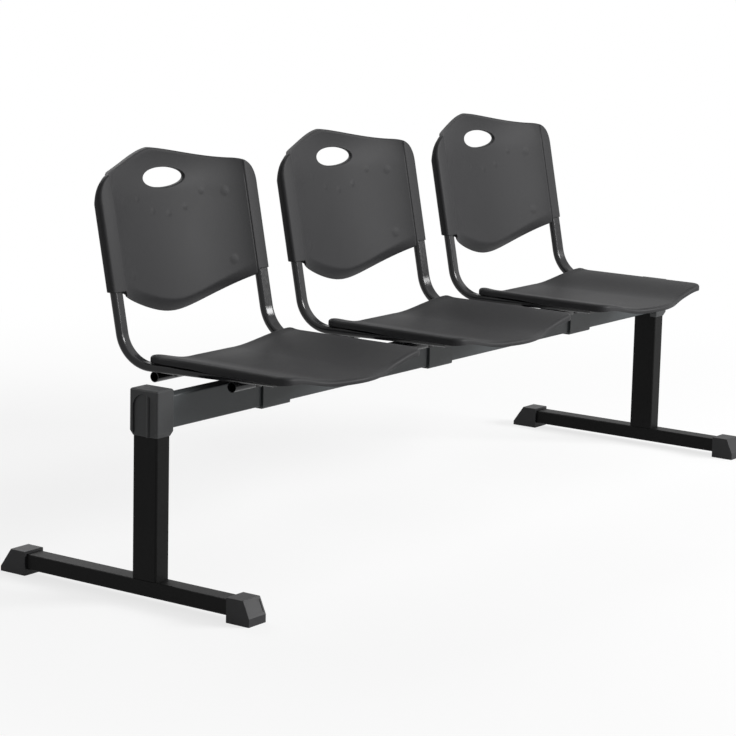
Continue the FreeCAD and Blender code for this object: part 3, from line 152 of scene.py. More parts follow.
def soft_step(value):
    """From 0 to 1 along half a cosine wave."""
    return (1 - np.cos(np.pi * np.clip(value, 0.0, 1.0))) / 2


# %% [markdown]
# The floor is a wide pale sheet. To the camera and to gloss it is white, apart from a faint shadow
# near the bench: a share of its lit colour shows there, and none of it far away. Is Camera Ray and
# its fellows tell what is seen from what lights the bench.

# %% Floor and world
FLOOR_COLOUR = (0.86, 0.86, 0.86, 1.0)
WHITE = (1.0, 1.0, 1.0, 1.0)
FLOOR_REACH = 12.0
FLOOR_DROP = 0.0002
SHADOW_SHARE = 0.24
SHADOW_REACH = (1.1, 2.6)
SKY_LIGHT = 0.14


def seen_rays(nodes, links):
    """1 for rays from the camera, from gloss and through glass, else 0."""
    path = nodes.new("ShaderNodeLightPath")
    either = nodes.new("ShaderNodeMath")
    either.operation = "MAXIMUM"
    links.new(path.outputs["Is Camera Ray"], either.inputs[0])
    links.new(path.outputs["Is Glossy Ray"], either.inputs[1])
    total = nodes.new("ShaderNodeMath")
    total.operation = "MAXIMUM"
    links.new(either.outputs[0], total.inputs[0])
    links.new(path.outputs["Is Transmission Ray"], total.inputs[1])
    return total.outputs[0]


def make_floor_paper():
    """Pale paper that keeps a faint shadow near the bench and is white far off."""
    material = bpy.data.materials.new("floor_paper")
    material.use_nodes = True
    nodes, links = material.node_tree.nodes, material.node_tree.links
    shader = nodes["Principled BSDF"]
    shader.inputs["Base Color"].default_value = FLOOR_COLOUR
    shader.inputs["Roughness"].default_value = 0.9
    shader.inputs["Specular IOR Level"].default_value = 0.1
    white = nodes.new("ShaderNodeEmission")
    white.inputs["Color"].default_value = WHITE
    white.inputs["Strength"].default_value = 1.0
    place = nodes.new("ShaderNodeTexCoord")
    length = nodes.new("ShaderNodeVectorMath")
    length.operation = "LENGTH"
    links.new(place.outputs["Object"], length.inputs[0])
    spread = nodes.new("ShaderNodeMapRange")
    spread.interpolation_type = "SMOOTHSTEP"
    spread.inputs["From Min"].default_value = SHADOW_REACH[0]
    spread.inputs["From Max"].default_value = SHADOW_REACH[1]
    spread.inputs["To Min"].default_value = 1 - SHADOW_SHARE
    spread.inputs["To Max"].default_value = 1.0
    links.new(length.outputs["Value"], spread.inputs["Value"])
    share = nodes.new("ShaderNodeMath")
    share.operation = "MULTIPLY"
    links.new(seen_rays(nodes, links), share.inputs[0])
    links.new(spread.outputs["Result"], share.inputs[1])
    mix = nodes.new("ShaderNodeMixShader")
    links.new(share.outputs[0], mix.inputs[0])
    links.new(shader.outputs[0], mix.inputs[1])
    links.new(white.outputs[0], mix.inputs[2])
    links.new(mix.outputs[0], nodes["Material Output"].inputs["Surface"])
    return material


def make_floor():
    """A wide floor a little under the feet."""
    ends = (-FLOOR_REACH, FLOOR_REACH)
    corners = [(ends[0], ends[0]), (ends[1], ends[0]), (ends[1], ends[1]), (ends[0], ends[1])]
    mesh = bpy.data.meshes.new("floor")
    mesh.from_pydata([(x, y, -FLOOR_DROP) for x, y in corners], [], [(0, 1, 2, 3)])
    mesh.materials.append(make_floor_paper())
    new_object(mesh, "floor")


def make_world():
    """An even pale sky, seen as white by the camera and by gloss."""
    world = bpy.data.worlds.new("studio")
    world.use_nodes = True
    nodes, links = world.node_tree.nodes, world.node_tree.links
    nodes.clear()
    output = nodes.new("ShaderNodeOutputWorld")
    mix = nodes.new("ShaderNodeMixShader")
    for socket, strength in ((1, SKY_LIGHT), (2, 1.0)):
        sky = nodes.new("ShaderNodeBackground")
        sky.inputs["Color"].default_value = WHITE
        sky.inputs["Strength"].default_value = strength
        links.new(sky.outputs[0], mix.inputs[socket])
    links.new(seen_rays(nodes, links), mix.inputs[0])
    links.new(mix.outputs[0], output.inputs["Surface"])
    bpy.context.scene.world = world


make_floor()
make_world()

# %% [markdown]
# The camera stands far off with a long lens, as for a catalogue picture, so upright edges stay
# nearly parallel. It leans by about a degree.

# %% Camera
CAMERA_PLACE = Vector((-4.4017, -2.9724 + BEAM_Y, 1.2983))
CAMERA_TURN = math.radians(-54.53)
CAMERA_DIP = math.radians(10.65)
CAMERA_ROLL = math.radians(1.37)
FRAME_PIXELS = 736
SENSOR_WIDTH = 36.0
FARTHEST = 100.0
FOCAL_PIXELS = 2627.75


def make_camera():
    """A camera that looks along the photograph's line of sight."""
    data = bpy.data.cameras.new("camera")
    data.sensor_fit = "HORIZONTAL"
    data.sensor_width = SENSOR_WIDTH
    data.lens = FOCAL_PIXELS / FRAME_PIXELS * data.sensor_width
    data.clip_end = FARTHEST
    camera = bpy.data.objects.new("camera", data)
    ahead = Vector((-math.sin(CAMERA_TURN) * math.cos(CAMERA_DIP),
                    math.cos(CAMERA_TURN) * math.cos(CAMERA_DIP),
                    -math.sin(CAMERA_DIP)))
    level = Vector((math.cos(CAMERA_TURN), math.sin(CAMERA_TURN), 0))
    upward = level.cross(ahead)
    right = level * math.cos(CAMERA_ROLL) + upward * math.sin(CAMERA_ROLL)
    top = upward * math.cos(CAMERA_ROLL) - level * math.sin(CAMERA_ROLL)
    axes = Matrix((right, top, -ahead)).transposed()
    camera.matrix_world = Matrix.Translation(CAMERA_PLACE) @ axes.to_4x4()
    bpy.context.scene.collection.objects.link(camera)
    bpy.context.scene.camera = camera


make_camera()

# %% [markdown]
# Large soft lamps stand in for a studio's soft boxes. On black plastic and lacquer it is their
# reflections that show the shapes.

# %% Lamps


def make_lamp(name, place, target, width, height, power):
    """A soft rectangular lamp that faces a point."""
    data = bpy.data.lights.new(name, "AREA")
    data.shape = "RECTANGLE"
    data.size = width
    data.size_y = height
    data.energy = power
    lamp = bpy.data.objects.new(name, data)
    facing = (Vector(target) - Vector(place)).to_track_quat("-Z", "Y")
    lamp.matrix_world = Matrix.Translation(Vector(place)) @ facing.to_matrix().to_4x4()
    bpy.context.scene.collection.objects.link(lamp)


make_lamp("front_soft_box", (2.2, -4.1, 2.4), (0, 0, 0.3), 2.6, 1.4, 350)
make_lamp("top_soft_box", (0.6, -1.6, 3.8), (0, 0, 0.2), 3.4, 2.4, 25)
make_lamp("rear_soft_box", (0.8, 3.6, 3.0), (0, 0, 0.4), 3.0, 1.6, 70)

# %% [markdown]
# Each chair has two moulded plastic shells, a seat and a back. All their dimensions are kept in
# millimetres about the chair's own middle. What the drawn shells already tell is read from them,
# and the rest are the sizes of the mould.

# %% Sizes of the shells
seat_low, seat_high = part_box("seat_shell_middle")
back_low, back_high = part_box("back_shell_middle")
upright_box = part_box("side_frame_right_middle")
SEAT_HALF = (seat_high.x - seat_low.x) / 2 / MM
SEAT_FRONT = (seat_low.y - BEAM_Y) / MM
SEAT_REAR = (seat_high.y - BEAM_Y) / MM
BACK_HALF = (back_high.x - back_low.x) / 2 / MM
BACK_BELLY = back_low.z / MM
BACK_CREST = back_high.z / MM
UPRIGHT_TOP = upright_box[1].z / MM
UPRIGHT_X = 217.0
UPRIGHT_WIDTH = 30.0
UPRIGHT_THICKNESS = 15.0
UPRIGHT_FOOT = 166.2
UPRIGHT_LEAN = math.radians(11.45)
RAIL_YAW = math.radians(8.43)
RAIL_HEIGHT = 395.8
print("seat", round(2 * SEAT_HALF), "wide; back", round(2 * BACK_HALF), "wide,",
      "up to", round(BACK_CREST))


def upright_line(z):
    """Where the uprights' middle line stands behind the beam: a straight lean."""
    return UPRIGHT_FOOT + math.tan(UPRIGHT_LEAN) * (z - RAIL_HEIGHT)


# %% [markdown]
# The back's front face is a height field: for each place across and up it says how far back the
# plastic lies. A hollow parabola holds the sitter's back, the bottom edge rolls away behind it, the
# top edge curls, and both sides step out on to the sleeves that slide over the uprights.

# %% Front face of the back
GROOVE = 196.5
BACK_SET = 31.5
BACK_HOLLOW = 36.5
BACK_FLARE = 4.0
BELLY_ROUND = 26.0
BELLY_SLOPE = 0.385
ROLL_DEPTH = 18.0
ROLL_HEIGHT = 24.0
ROLL_WIDTH = 410.0
SHOULDER = 743.0
GABLE_WIDTH = 420.0
CURL_DEPTH = 27.0
CURL_HEIGHT = 82.0
CURL_WIDTH = 430.0
SLEEVE_DEPTH = 11.0
SLEEVE_BOTTOM = 528.0
SLEEVE_MIDDLE = 212.0
SLEEVE_HALF = 14.0
SLEEVE_CROWN = 0.9
STEP_START = GROOVE - 1.0
STEP_WIDTH = 5.5
GROOVE_DEPTH = 0.8
GROOVE_WIDTH = 1.1
GROOVE_END = 722.0
GROOVE_FADE = 22.0
BACK_CORNER = 50.0
MARK_RISE = 0.75
LARGE_MARKS = [(sign * 150.0, z, 10.0) for sign in (-1, 1) for z in (550.0, 682.0)]
SMALL_MARKS = [(47.5 * step, 649.5 + 9.0 * step * step, 7.0) for step in range(-2, 3)]


def fading(x, width):
    """From 1 in the middle to 0 at both ends of a width, as a parabola."""
    return np.clip(1 - (2 * x / width) ** 2, 0, 1)


def belly_edge(x):
    """Height of the bottom edge: a V whose tip is a hyperbola."""
    return BACK_BELLY + np.hypot(BELLY_ROUND, BELLY_SLOPE * x) - BELLY_ROUND


def gable_edge(x):
    """Height of the top edge: a gable with a round tip and hollow slopes."""
    reach = np.clip(2 * np.abs(x) / GABLE_WIDTH, 0, 1)
    return SHOULDER + (BACK_CREST - SHOULDER) * (1 - reach ** 1.4) ** 2


def sheet_front(x, z):
    """The panel between the sleeves, without its marks."""
    reach = np.abs(x) / GROOVE
    hollow = BACK_HOLLOW * reach ** 2 + BACK_FLARE * reach ** 8
    curl_share = np.clip((z - BACK_CREST) / CURL_HEIGHT + 1, 0, None)
    roll_share = np.clip(1 - (z - belly_edge(x)) / ROLL_HEIGHT, 0, None)
    curl = CURL_DEPTH * fading(x, CURL_WIDTH) * curl_share ** 2
    roll = ROLL_DEPTH * fading(x, ROLL_WIDTH) * roll_share ** 1.6
    return upright_line(z) + BACK_SET - hollow + curl + roll


def round_mark(x, z, mark):
    """A low dome: the cap of a ball, cut off where it meets the face."""
    middle_x, middle_z, radius = mark
    share = np.hypot(x - middle_x, z - middle_z) / radius
    return MARK_RISE * np.clip(1 - share ** 2, 0, 1)


def back_front(x, z, _to_top=None):
    """Panel and sleeves, blended over a few millimetres beside a fine groove."""
    panel = sheet_front(x, z)
    crown = SLEEVE_CROWN * ((np.abs(x) - SLEEVE_MIDDLE) / SLEEVE_HALF) ** 2
    sleeve = upright_line(z) - SLEEVE_DEPTH + crown
    step = soft_step((np.abs(x) - STEP_START) / STEP_WIDTH)
    groove_fade = soft_step((GROOVE_END - z) / GROOVE_FADE)
    groove = GROOVE_DEPTH * np.exp(-((np.abs(x) - GROOVE) / GROOVE_WIDTH) ** 2) * groove_fade
    face = panel * (1 - step) + sleeve * step + groove
    for mark in LARGE_MARKS + SMALL_MARKS:
        face = face - round_mark(x, z, mark)
    return face


# %% [markdown]
# Behind, the panel is an even wall, with a deeper rim along its top edge, and the sleeves are as
# deep as the uprights need. They thin out above the uprights' ends.

# %% Rear face of the back
BACK_WALL = 4.5
RIM_DEPTH = 11.0
RIM_WIDTH = 4.5
SLEEVE_ROOF = 688.0
SLEEVE_THINNING = 42.0
SLEEVE_TIP = 10.0
RIM_EDGE = 1.2
REAR_STEP_START = GROOVE + 2.0
REAR_STEP_WIDTH = 1.5


def back_rear(x, z, to_top):
    """The rear face; to_top is how far each place lies below the top edge."""
    sheet = sheet_front(x, z) + BACK_WALL
    rim = (RIM_DEPTH - BACK_WALL) * soft_step((RIM_WIDTH + RIM_EDGE - to_top) / RIM_EDGE)
    thinning = np.clip((z - SLEEVE_ROOF) / SLEEVE_THINNING, 0, 1)
    depth = SLEEVE_DEPTH + (SLEEVE_TIP - 2 * SLEEVE_DEPTH) * thinning
    sleeve = upright_line(z) + depth
    step = soft_step((np.abs(x) - REAR_STEP_START) / REAR_STEP_WIDTH)
    return (sheet + rim) * (1 - step) + np.maximum(sleeve, sheet) * step


# %% [markdown]
# The outline is drawn once along the top, from one side round its corner, over the gable and round
# the other corner. Front and rear face are grids that end a little inside it, and a quarter round
# carries each of them out to the outline, so that no edge is sharp.

# %% Outline of the back
CORNER_MIDDLE = BACK_HALF - BACK_CORNER
TOP_COLUMNS = 149
BELLY_STEP = 5.0
FRONT_ROUND = 4.0
REAR_ROUND = 1.2
SIDE_ROUND = 8.0


def top_outline():
    """Points across the top edge with their outward directions, from left to right."""
    fine = np.radians(np.concatenate([
        np.linspace(0, 5, 3), np.linspace(6.5, 24, 24), np.linspace(28, 90, 18)]))
    corner_x = CORNER_MIDDLE + BACK_CORNER * np.sin(fine)
    corner_z = gable_edge(corner_x) - BACK_CORNER * (1 - np.cos(fine))
    middle_x = np.linspace(-CORNER_MIDDLE, CORNER_MIDDLE, TOP_COLUMNS)[1:-1]
    x = np.concatenate([-corner_x[::-1], middle_x, corner_x])
    z = np.concatenate([corner_z[::-1], gable_edge(middle_x), corner_z])
    along = np.stack([np.gradient(x), np.gradient(z)], axis=-1)
    along /= np.linalg.norm(along, axis=-1, keepdims=True)
    outward = np.stack([-along[:, 1], along[:, 0]], axis=-1)
    outward[0] = (-1, 0)
    outward[-1] = (1, 0)
    return x, z, outward


def lower_outline(x):
    """The bottom edge: the belly between the sleeves, and level under them."""
    step = soft_step((np.abs(x) - GROOVE) / BELLY_STEP)
    return belly_edge(x) * (1 - step) + SLEEVE_BOTTOM * step


ROWS_UP = 121
ROUND_STEPS = 6
QUARTER = np.linspace(0, np.pi / 2, ROUND_STEPS)


def stacked(x, y, z):
    """Three arrays of one shape as one grid of points."""
    return np.stack(np.broadcast_arrays(x, y, z), axis=-1)


def back_face(height, sign, top_round, side_round):
    """One face as grid, top round and side rounds; sign is the way its rounds turn in y."""
    edge_x, edge_z, outward = top_outline()
    share = outward[:, 0] ** 4
    radius = top_round + (side_round - top_round) * share
    inner_x = edge_x - radius * outward[:, 0]
    inner_z = edge_z - radius * outward[:, 1]
    up = np.linspace(0, 1, ROWS_UP)[:, None]
    low = lower_outline(inner_x)
    z = low + up * (inner_z - low)
    x = np.broadcast_to(inner_x, z.shape)
    y = height(x, z, inner_z - z + radius)
    grid = stacked(x, y, z)
    round_x = inner_x + np.sin(QUARTER)[:, None] * radius * outward[:, 0]
    round_z = inner_z + np.sin(QUARTER)[:, None] * radius * outward[:, 1]
    round_y = y[-1] + sign * radius * (1 - np.cos(QUARTER)[:, None])
    top = stacked(round_x, round_y, round_z)
    sides = []
    for column in (0, -1):
        away = math.copysign(side_round, inner_x[column])
        side_x = inner_x[column] + np.sin(QUARTER) * away
        side_y = y[:, column][:, None] + sign * side_round * (1 - np.cos(QUARTER))
        sides.append(stacked(side_x, side_y, z[:, column][:, None]))
    return grid, top, sides


# %% [markdown]
# The handle hole is an ellipse with a rim behind it. A block of cells is left out of both faces,
# and one closed strip runs from the front block's border into the hole, through it and back out to
# the border of the rear block. Each point of the strip keeps its direction from the hole's middle.
# The rear steps are pairs: how far out from the hole's edge, and how deep behind the front face.

# %% Handle hole
HANDLE_HALF = 60.5
HANDLE_RISE = 18.4
HANDLE_MIDDLE = 717.5
HANDLE_RIM = 9.0
HANDLE_ROUND = 2.5
BLOCK_HALF = 84.0
BLOCK_LOW = 685.0
BLOCK_HIGH = 755.0
REAR_STEPS = [(0.0, HANDLE_RIM - 1.0), (0.4, HANDLE_RIM - 0.3), (1.2, HANDLE_RIM),
              (3.4, HANDLE_RIM), (4.2, HANDLE_RIM - 0.3), (4.6, HANDLE_RIM - 1.0),
              (4.9, BACK_WALL + 1.0), (5.6, BACK_WALL + 0.2), (6.6, BACK_WALL)]


def block_border(block):
    """The closed border of a block of grid points."""
    return np.concatenate([block[0, :-1], block[:-1, -1], block[-1, :0:-1], block[:0:-1, 0]])


def hole_strip(front_border, rear_border):
    """Loops from the front block's border through the hole to the rear block's border."""
    angle = np.arctan2((front_border[:, 2] - HANDLE_MIDDLE) / HANDLE_RISE,
                       front_border[:, 0] / HANDLE_HALF)

    def oval(grown):
        """The hole's edge, grown by a distance, in each point's direction."""
        return (np.cos(angle) * (HANDLE_HALF + grown),
                HANDLE_MIDDLE + np.sin(angle) * (HANDLE_RISE + grown))

    loops = [front_border]
    x, z = oval(HANDLE_ROUND)
    for share in np.linspace(0, 1, 9)[1:]:
        mix_x = front_border[:, 0] * (1 - share) + x * share
        mix_z = front_border[:, 2] * (1 - share) + z * share
        loops.append(stacked(mix_x, back_front(mix_x, mix_z), mix_z))
    for turn in QUARTER[1:]:
        x, z = oval(HANDLE_ROUND * (1 - math.sin(turn)))
        loops.append(stacked(x, sheet_front(x, z) + HANDLE_ROUND * (1 - math.cos(turn)), z))
    for grown, depth in REAR_STEPS:
        x, z = oval(grown)
        loops.append(stacked(x, sheet_front(x, z) + depth, z))
    start_x, start_z = x, z
    for share in np.linspace(0, 1, 5)[1:-1]:
        mix_x = start_x * (1 - share) + rear_border[:, 0] * share
        mix_z = start_z * (1 - share) + rear_border[:, 2] * share
        loops.append(stacked(mix_x, sheet_front(mix_x, mix_z) + BACK_WALL, mix_z))
    loops.append(rear_border)
    return np.stack(loops)


# %% [markdown]
# Under each sleeve the plastic is open, and the upright goes in there. The room for it is a flat
# oval, turned a little as the tube is, and it ends just above the tube.

# %% Room for the uprights
BORE_PLAY = 0.3
MOUTH_RISE = 0.8
LIP_SHARE = 0.1
END_PLAY = 0.5
TINY = 1e-9


def tube_axes(sign):
    """Across and depth of an upright's section, carried along the lean into a level plane."""
    heading = np.array([-sign * math.sin(RAIL_YAW), -math.cos(RAIL_YAW), 0.0])
    up = np.array([0.0, math.sin(UPRIGHT_LEAN), math.cos(UPRIGHT_LEAN)])
    turn = math.acos(math.sin(UPRIGHT_LEAN) * math.cos(RAIL_YAW))
    depth = -(heading + up * math.cos(turn)) / math.sin(turn)
    across = np.cross(depth, up)
    return [axis - up * (axis[2] / up[2]) for axis in (across, depth)]


def stadium_reach(cosine, sine, half, radius):
    """How far the edge of a flat oval lies from its middle in a direction."""
    flat = half - radius
    to_flat = radius / np.maximum(np.abs(sine), TINY)
    shift = flat * np.abs(cosine)
    to_round = shift + np.sqrt(np.maximum(radius ** 2 - (flat * sine) ** 2, 0))
    return np.where(to_flat * np.abs(cosine) <= flat, to_flat, to_round)


def bore_loop(sign, angles, z):
    """The room's edge at a height, as points in the given directions."""
    half = UPRIGHT_WIDTH / 2 + BORE_PLAY
    radius = UPRIGHT_THICKNESS / 2 + BORE_PLAY
    reach = stadium_reach(np.cos(angles), np.sin(angles), half, radius)
    across, depth = tube_axes(sign)
    middle = np.array([sign * UPRIGHT_X, upright_line(z), z])
    return (middle + (reach * np.cos(angles))[:, None] * across * np.sign(across[0])
            + (reach * np.sin(angles))[:, None] * depth * np.sign(depth[1]))


def sleeve_underside(outer, sign):
    """From the sleeve's lower edge inward to the room, up its wall and over its end."""
    middle = np.array([sign * UPRIGHT_X, upright_line(SLEEVE_BOTTOM)])
    angles = np.arctan2(outer[:, 1] - middle[1], outer[:, 0] - middle[0])
    mouth = bore_loop(sign, angles, SLEEVE_BOTTOM + MOUTH_RISE)
    lip = mouth * (1 - LIP_SHARE) + outer * LIP_SHARE
    lip[:, 2] = SLEEVE_BOTTOM
    top = bore_loop(sign, angles, UPRIGHT_TOP + END_PLAY)
    end = np.broadcast_to(top.mean(axis=0), top.shape)
    return np.stack([outer, lip, mouth, top, end])


# %% Back shells
SEAM = 203.0
BELLY_BULGE = 1.8
BULGE_FADE = 6.0


def make_back():
    """One back: two faces, their rounds, the edges between them and what is cut into them."""
    work = Grids()
    front, front_top, front_sides = back_face(back_front, 1, FRONT_ROUND, SIDE_ROUND)
    rear, rear_top, rear_sides = back_face(back_rear, -1, REAR_ROUND, SIDE_ROUND)
    columns = np.abs(front[ROWS_UP // 2, :, 0])
    heights = front[:, front.shape[1] // 2, 2]
    block_columns = np.flatnonzero(columns < BLOCK_HALF)
    block_rows = np.flatnonzero((heights > BLOCK_LOW) & (heights < BLOCK_HIGH))
    rows = slice(block_rows[0], block_rows[-1] + 1)
    across = slice(block_columns[0], block_columns[-1] + 1)
    keep = np.ones((front.shape[0] - 1, front.shape[1] - 1), bool)
    keep[rows.start:rows.stop - 1, across.start:across.stop - 1] = False
    work.add(front, keep=keep)
    work.add(rear, keep=keep)
    work.add(hole_strip(block_border(front[rows, across]), block_border(rear[rows, across])),
             wrap_columns=True)
    depth = np.linspace(0, 1, 4)[:, None, None]
    work.add(front_top)
    work.add(rear_top)
    work.add(front_top[-1] * (1 - depth) + rear_top[-1] * depth)
    walls = []
    for front_side, rear_side in zip(front_sides, rear_sides):
        wall = front_side[:, -1] * (1 - depth) + rear_side[:, -1] * depth
        walls.append(wall)
        work.add(front_side)
        work.add(rear_side)
        work.add(wall)
    inside = np.flatnonzero(np.abs(front[0, :, 0]) <= SEAM)
    first, last = inside[0], inside[-1]
    across_edge = np.linspace(0, 1, 7)[:, None, None]
    strip = (front[0, first:last + 1] * (1 - across_edge) + rear[0, first:last + 1] * across_edge)
    bulge = BELLY_BULGE * soft_step((SEAM - np.abs(strip[0, :, 0])) / BULGE_FADE)
    strip[:, :, 2] -= np.sin(np.pi * across_edge[:, :, 0]) * bulge
    work.add(strip)
    for side, sign in ((0, -1), (1, 1)):
        if sign > 0:
            front_run, rear_run, seam = front[0, last:], rear[0, last:], strip[:, -1]
        else:
            front_run, rear_run, seam = front[0, first::-1], rear[0, first::-1], strip[:, 0]
        outer = np.concatenate([
            front_run, front_sides[side][0, 1:], walls[side][1:, 0],
            rear_sides[side][0, -2::-1], rear_run[-2::-1], seam[-2:0:-1]])
        work.add(sleeve_underside(outer, sign), wrap_columns=True)
    return work


# %% [markdown]
# The seat is a shell turned down all round. Its top dips in the middle between two flat-topped
# sides, the front edge bows forward and rolls down, and the rear edge turns up a little. The edge
# is one closed strip that follows the outline through the round, the skirt and back up inside.

# %% Seat shape
SEAT_FLOOR = 393.5
SEAT_FLAT = 60.0
SEAT_RISE = 22.5
SEAT_DIP = 0.8
SEAT_WALL = 4.0
SEAT_LIP = 11.0
SEAT_SKIRT = 16.0
SEAT_REAR_SKIRT = 11.5
FRONT_BOW = 22.0
BOW_HALF = 130.0
REAR_BOW = 31.0
REAR_STRAIGHT = 50.0
FRONT_CORNER = 24.0
REAR_CORNER = 12.0
RIM_STRIP = 30.0
RIM_RISE = 2.5
TIP_RISE = 3.0
TIP_WIDTH = 65.0
EDGE_OUT = 8.0
EDGE_DOWN = 6.0
SIDE_FRONT = SEAT_FRONT + FRONT_BOW
RIM_PAST = 1.3
SKIRT_START = -60.0
SKIRT_CHANGE = 80.0


def seat_ramp(x):
    """From 0 on the flat middle to 1 at the sides, along half a cosine wave."""
    return soft_step((np.abs(x) - SEAT_FLAT) / (SEAT_HALF - SEAT_FLAT))


def seat_front_edge(x):
    """The front edge with its soft bow."""
    return SIDE_FRONT - FRONT_BOW * (1 - soft_step(np.abs(x) / BOW_HALF))


def seat_rear_edge(x):
    """The rear edge: straight, then swept forward to the corners."""
    reach = np.clip(np.abs(x) - REAR_STRAIGHT, 0, None) / (SEAT_HALF - REAR_STRAIGHT)
    return SEAT_REAR - REAR_BOW * reach ** 1.6


def seat_top(x, y):
    """Height of the top: ramp, dip and the rim that turns up along the rear."""
    middle = (SEAT_REAR + SIDE_FRONT) / 2
    half = (SEAT_REAR - SIDE_FRONT) / 2
    along = np.clip(np.abs(y - middle) / half, 0, 1)
    dip = SEAT_DIP * (1 - seat_ramp(x)) * (1 - along ** 2)
    tip = TIP_RISE * soft_step((np.abs(x) - SEAT_HALF + TIP_WIDTH) / TIP_WIDTH)
    near = np.clip(1 - (seat_rear_edge(x) - y) / RIM_STRIP, 0, RIM_PAST)
    return SEAT_FLOOR + SEAT_RISE * seat_ramp(x) - dip + (RIM_RISE + tip) * near ** 2


def seat_hem(x, y):
    """Height of the skirt's lower edge: deeper at the sides, and less so to the rear."""
    side = np.clip(np.abs(x) / SEAT_HALF, 0, 1) ** 6
    to_rear = soft_step((y - SKIRT_START) / SKIRT_CHANGE)
    skirt = SEAT_SKIRT + (SEAT_REAR_SKIRT - SEAT_SKIRT) * to_rear
    return SEAT_FLOOR + SEAT_RISE * seat_ramp(x) - SEAT_LIP - (skirt - SEAT_LIP) * side


# %% Seat shells
SEAT_ROWS = 150
SEAT_COLUMNS = 141
CORNER_STEPS = 22
HEM_STEPS = [(EDGE_OUT, 1.0), (EDGE_OUT - 0.4, 0.3), (EDGE_OUT - 1.2, 0.0),
             (EDGE_OUT - 2.8, 0.0), (EDGE_OUT - 3.6, 0.3), (EDGE_OUT - 4.0, 1.0)]
BOSS_RADIUS = 8.0
BOSS_CHAMFER = 0.6
BOSS_SIDES = 32
BOSS_FOOT = RAIL_HEIGHT + UPRIGHT_THICKNESS / 2 + 0.3
BOSS_REAR = 62.0
BOSS_FRONT = -112.0


def corner_drop(x, radius):
    """How far a round corner cuts an edge back, at a place beside it."""
    over = np.clip(np.abs(x) - (SEAT_HALF - EDGE_OUT - radius), 0, radius)
    return radius - np.sqrt(np.maximum(radius ** 2 - over ** 2, 0))


def seat_plan():
    """The seat seen from above, drawn in by the width of its round edge."""
    half = SEAT_HALF - EDGE_OUT
    front_radius = FRONT_CORNER - EDGE_OUT
    rear_radius = REAR_CORNER - EDGE_OUT
    turn = np.radians(np.linspace(0, 90, CORNER_STEPS))
    corner = half - front_radius + front_radius * np.sin(turn)
    middle = np.linspace(-corner[0], corner[0], SEAT_COLUMNS)[1:-1]
    x = np.concatenate([-corner[::-1], middle, corner])
    front = seat_front_edge(x) + EDGE_OUT + corner_drop(x, front_radius)
    rear = seat_rear_edge(x) - EDGE_OUT - corner_drop(x, rear_radius)
    along = np.linspace(0, 1, SEAT_ROWS)[:, None]
    y = front + along * (rear - front)
    return np.broadcast_to(x, y.shape), y


def loop_outward(loop):
    """Outward directions of a closed loop in the plane, from each point's neighbours."""
    along = np.roll(loop, -1, axis=0) - np.roll(loop, 1, axis=0)
    along /= np.linalg.norm(along, axis=-1, keepdims=True)
    return np.stack([along[:, 1], -along[:, 0]], axis=-1)


def seat_edge(border):
    """Loops from the top's border out, down, round the hem and up inside."""
    plan = border[:, :2]
    outward = loop_outward(plan)
    outline = plan + outward * EDGE_OUT
    brim = seat_top(plan[:, 0], plan[:, 1])
    hem = seat_hem(outline[:, 0], outline[:, 1])
    loops = [border]

    def add(out, z):
        """One more loop, at a distance out from the plan."""
        place = plan + outward * out
        loops.append(stacked(place[:, 0], place[:, 1], z))

    for turn in np.linspace(0, np.pi / 2, 9)[1:]:
        add(EDGE_OUT * math.sin(turn), brim - EDGE_DOWN * (1 - math.cos(turn)))
    side = brim - EDGE_DOWN
    for share in (0.3, 0.65):
        add(EDGE_OUT, side * (1 - share) + (hem + 1) * share)
    for out, lift in HEM_STEPS:
        add(out, hem + lift)
    inner = brim - SEAT_WALL
    inner_out = EDGE_OUT - SEAT_WALL
    for turn in np.linspace(0, np.pi / 2, 5):
        add(inner_out * math.cos(turn), inner - inner_out * (1 - math.sin(turn)))
    return np.stack(loops)


def make_pillar(work, x, y, low, high, radius):
    """A closed round pillar: a circle carried up, with both ends drawn to their middles."""
    angle = np.linspace(0, 2 * np.pi, BOSS_SIDES + 1)[:-1]
    rows = [(0, low), (radius - BOSS_CHAMFER, low), (radius, low + BOSS_CHAMFER),
            (radius, high), (0, high)]
    loops = [stacked(x + reach * np.cos(angle), y + reach * np.sin(angle), z)
             for reach, z in rows]
    work.add(np.stack(loops), wrap_columns=True)


def make_seat():
    """One seat: top, underside, the strip between them and four bosses."""
    x, y = seat_plan()
    top = stacked(x, y, seat_top(x, y))
    under = stacked(x, y, top[:, :, 2] - SEAT_WALL)
    work = Grids()
    work.add(top)
    work.add(under)
    work.add(seat_edge(block_border(top)), wrap_columns=True)
    for sign in (-1, 1):
        for place in (BOSS_REAR, BOSS_FRONT):
            across = UPRIGHT_X - math.tan(RAIL_YAW) * (UPRIGHT_FOOT - place)
            roof = float(seat_top(np.array(across), np.array(place))) - SEAT_WALL / 2
            make_pillar(work, sign * across, place, BOSS_FOOT, roof, BOSS_RADIUS)
    return work


def place_shells(work, kind):
    """One copy of a shell for each chair, in metres, in place of the drawn one."""
    mesh = work.mesh(kind)
    for chair in CHAIRS:
        shift = (CHAIR_X[chair], BEAM_Y, 0)
        piece = copy_to(mesh, f"{kind}_skin_{chair}", shift)
        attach(piece, "root")
        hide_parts(f"{kind}_shell_{chair}")
        SHELLS.append(piece)
    print(kind, "has", len(mesh.polygons), "faces")


SHELLS = []
place_shells(make_seat(), "seat")
place_shells(make_back(), "back")

# %% [markdown]
# Three node groups hold what several finishes share. Each gives values or a normal, and the
# finish decides what to do with them:
#
# - **moulded grain** is the fine texture that a spark-eroded mould leaves on plastic
# - **coat peel** is the soft waviness of baked powder and lacquer
# - **handling** is a slow cloudiness, with finer specks in it, that changes gloss and tone a little

# %% Node groups


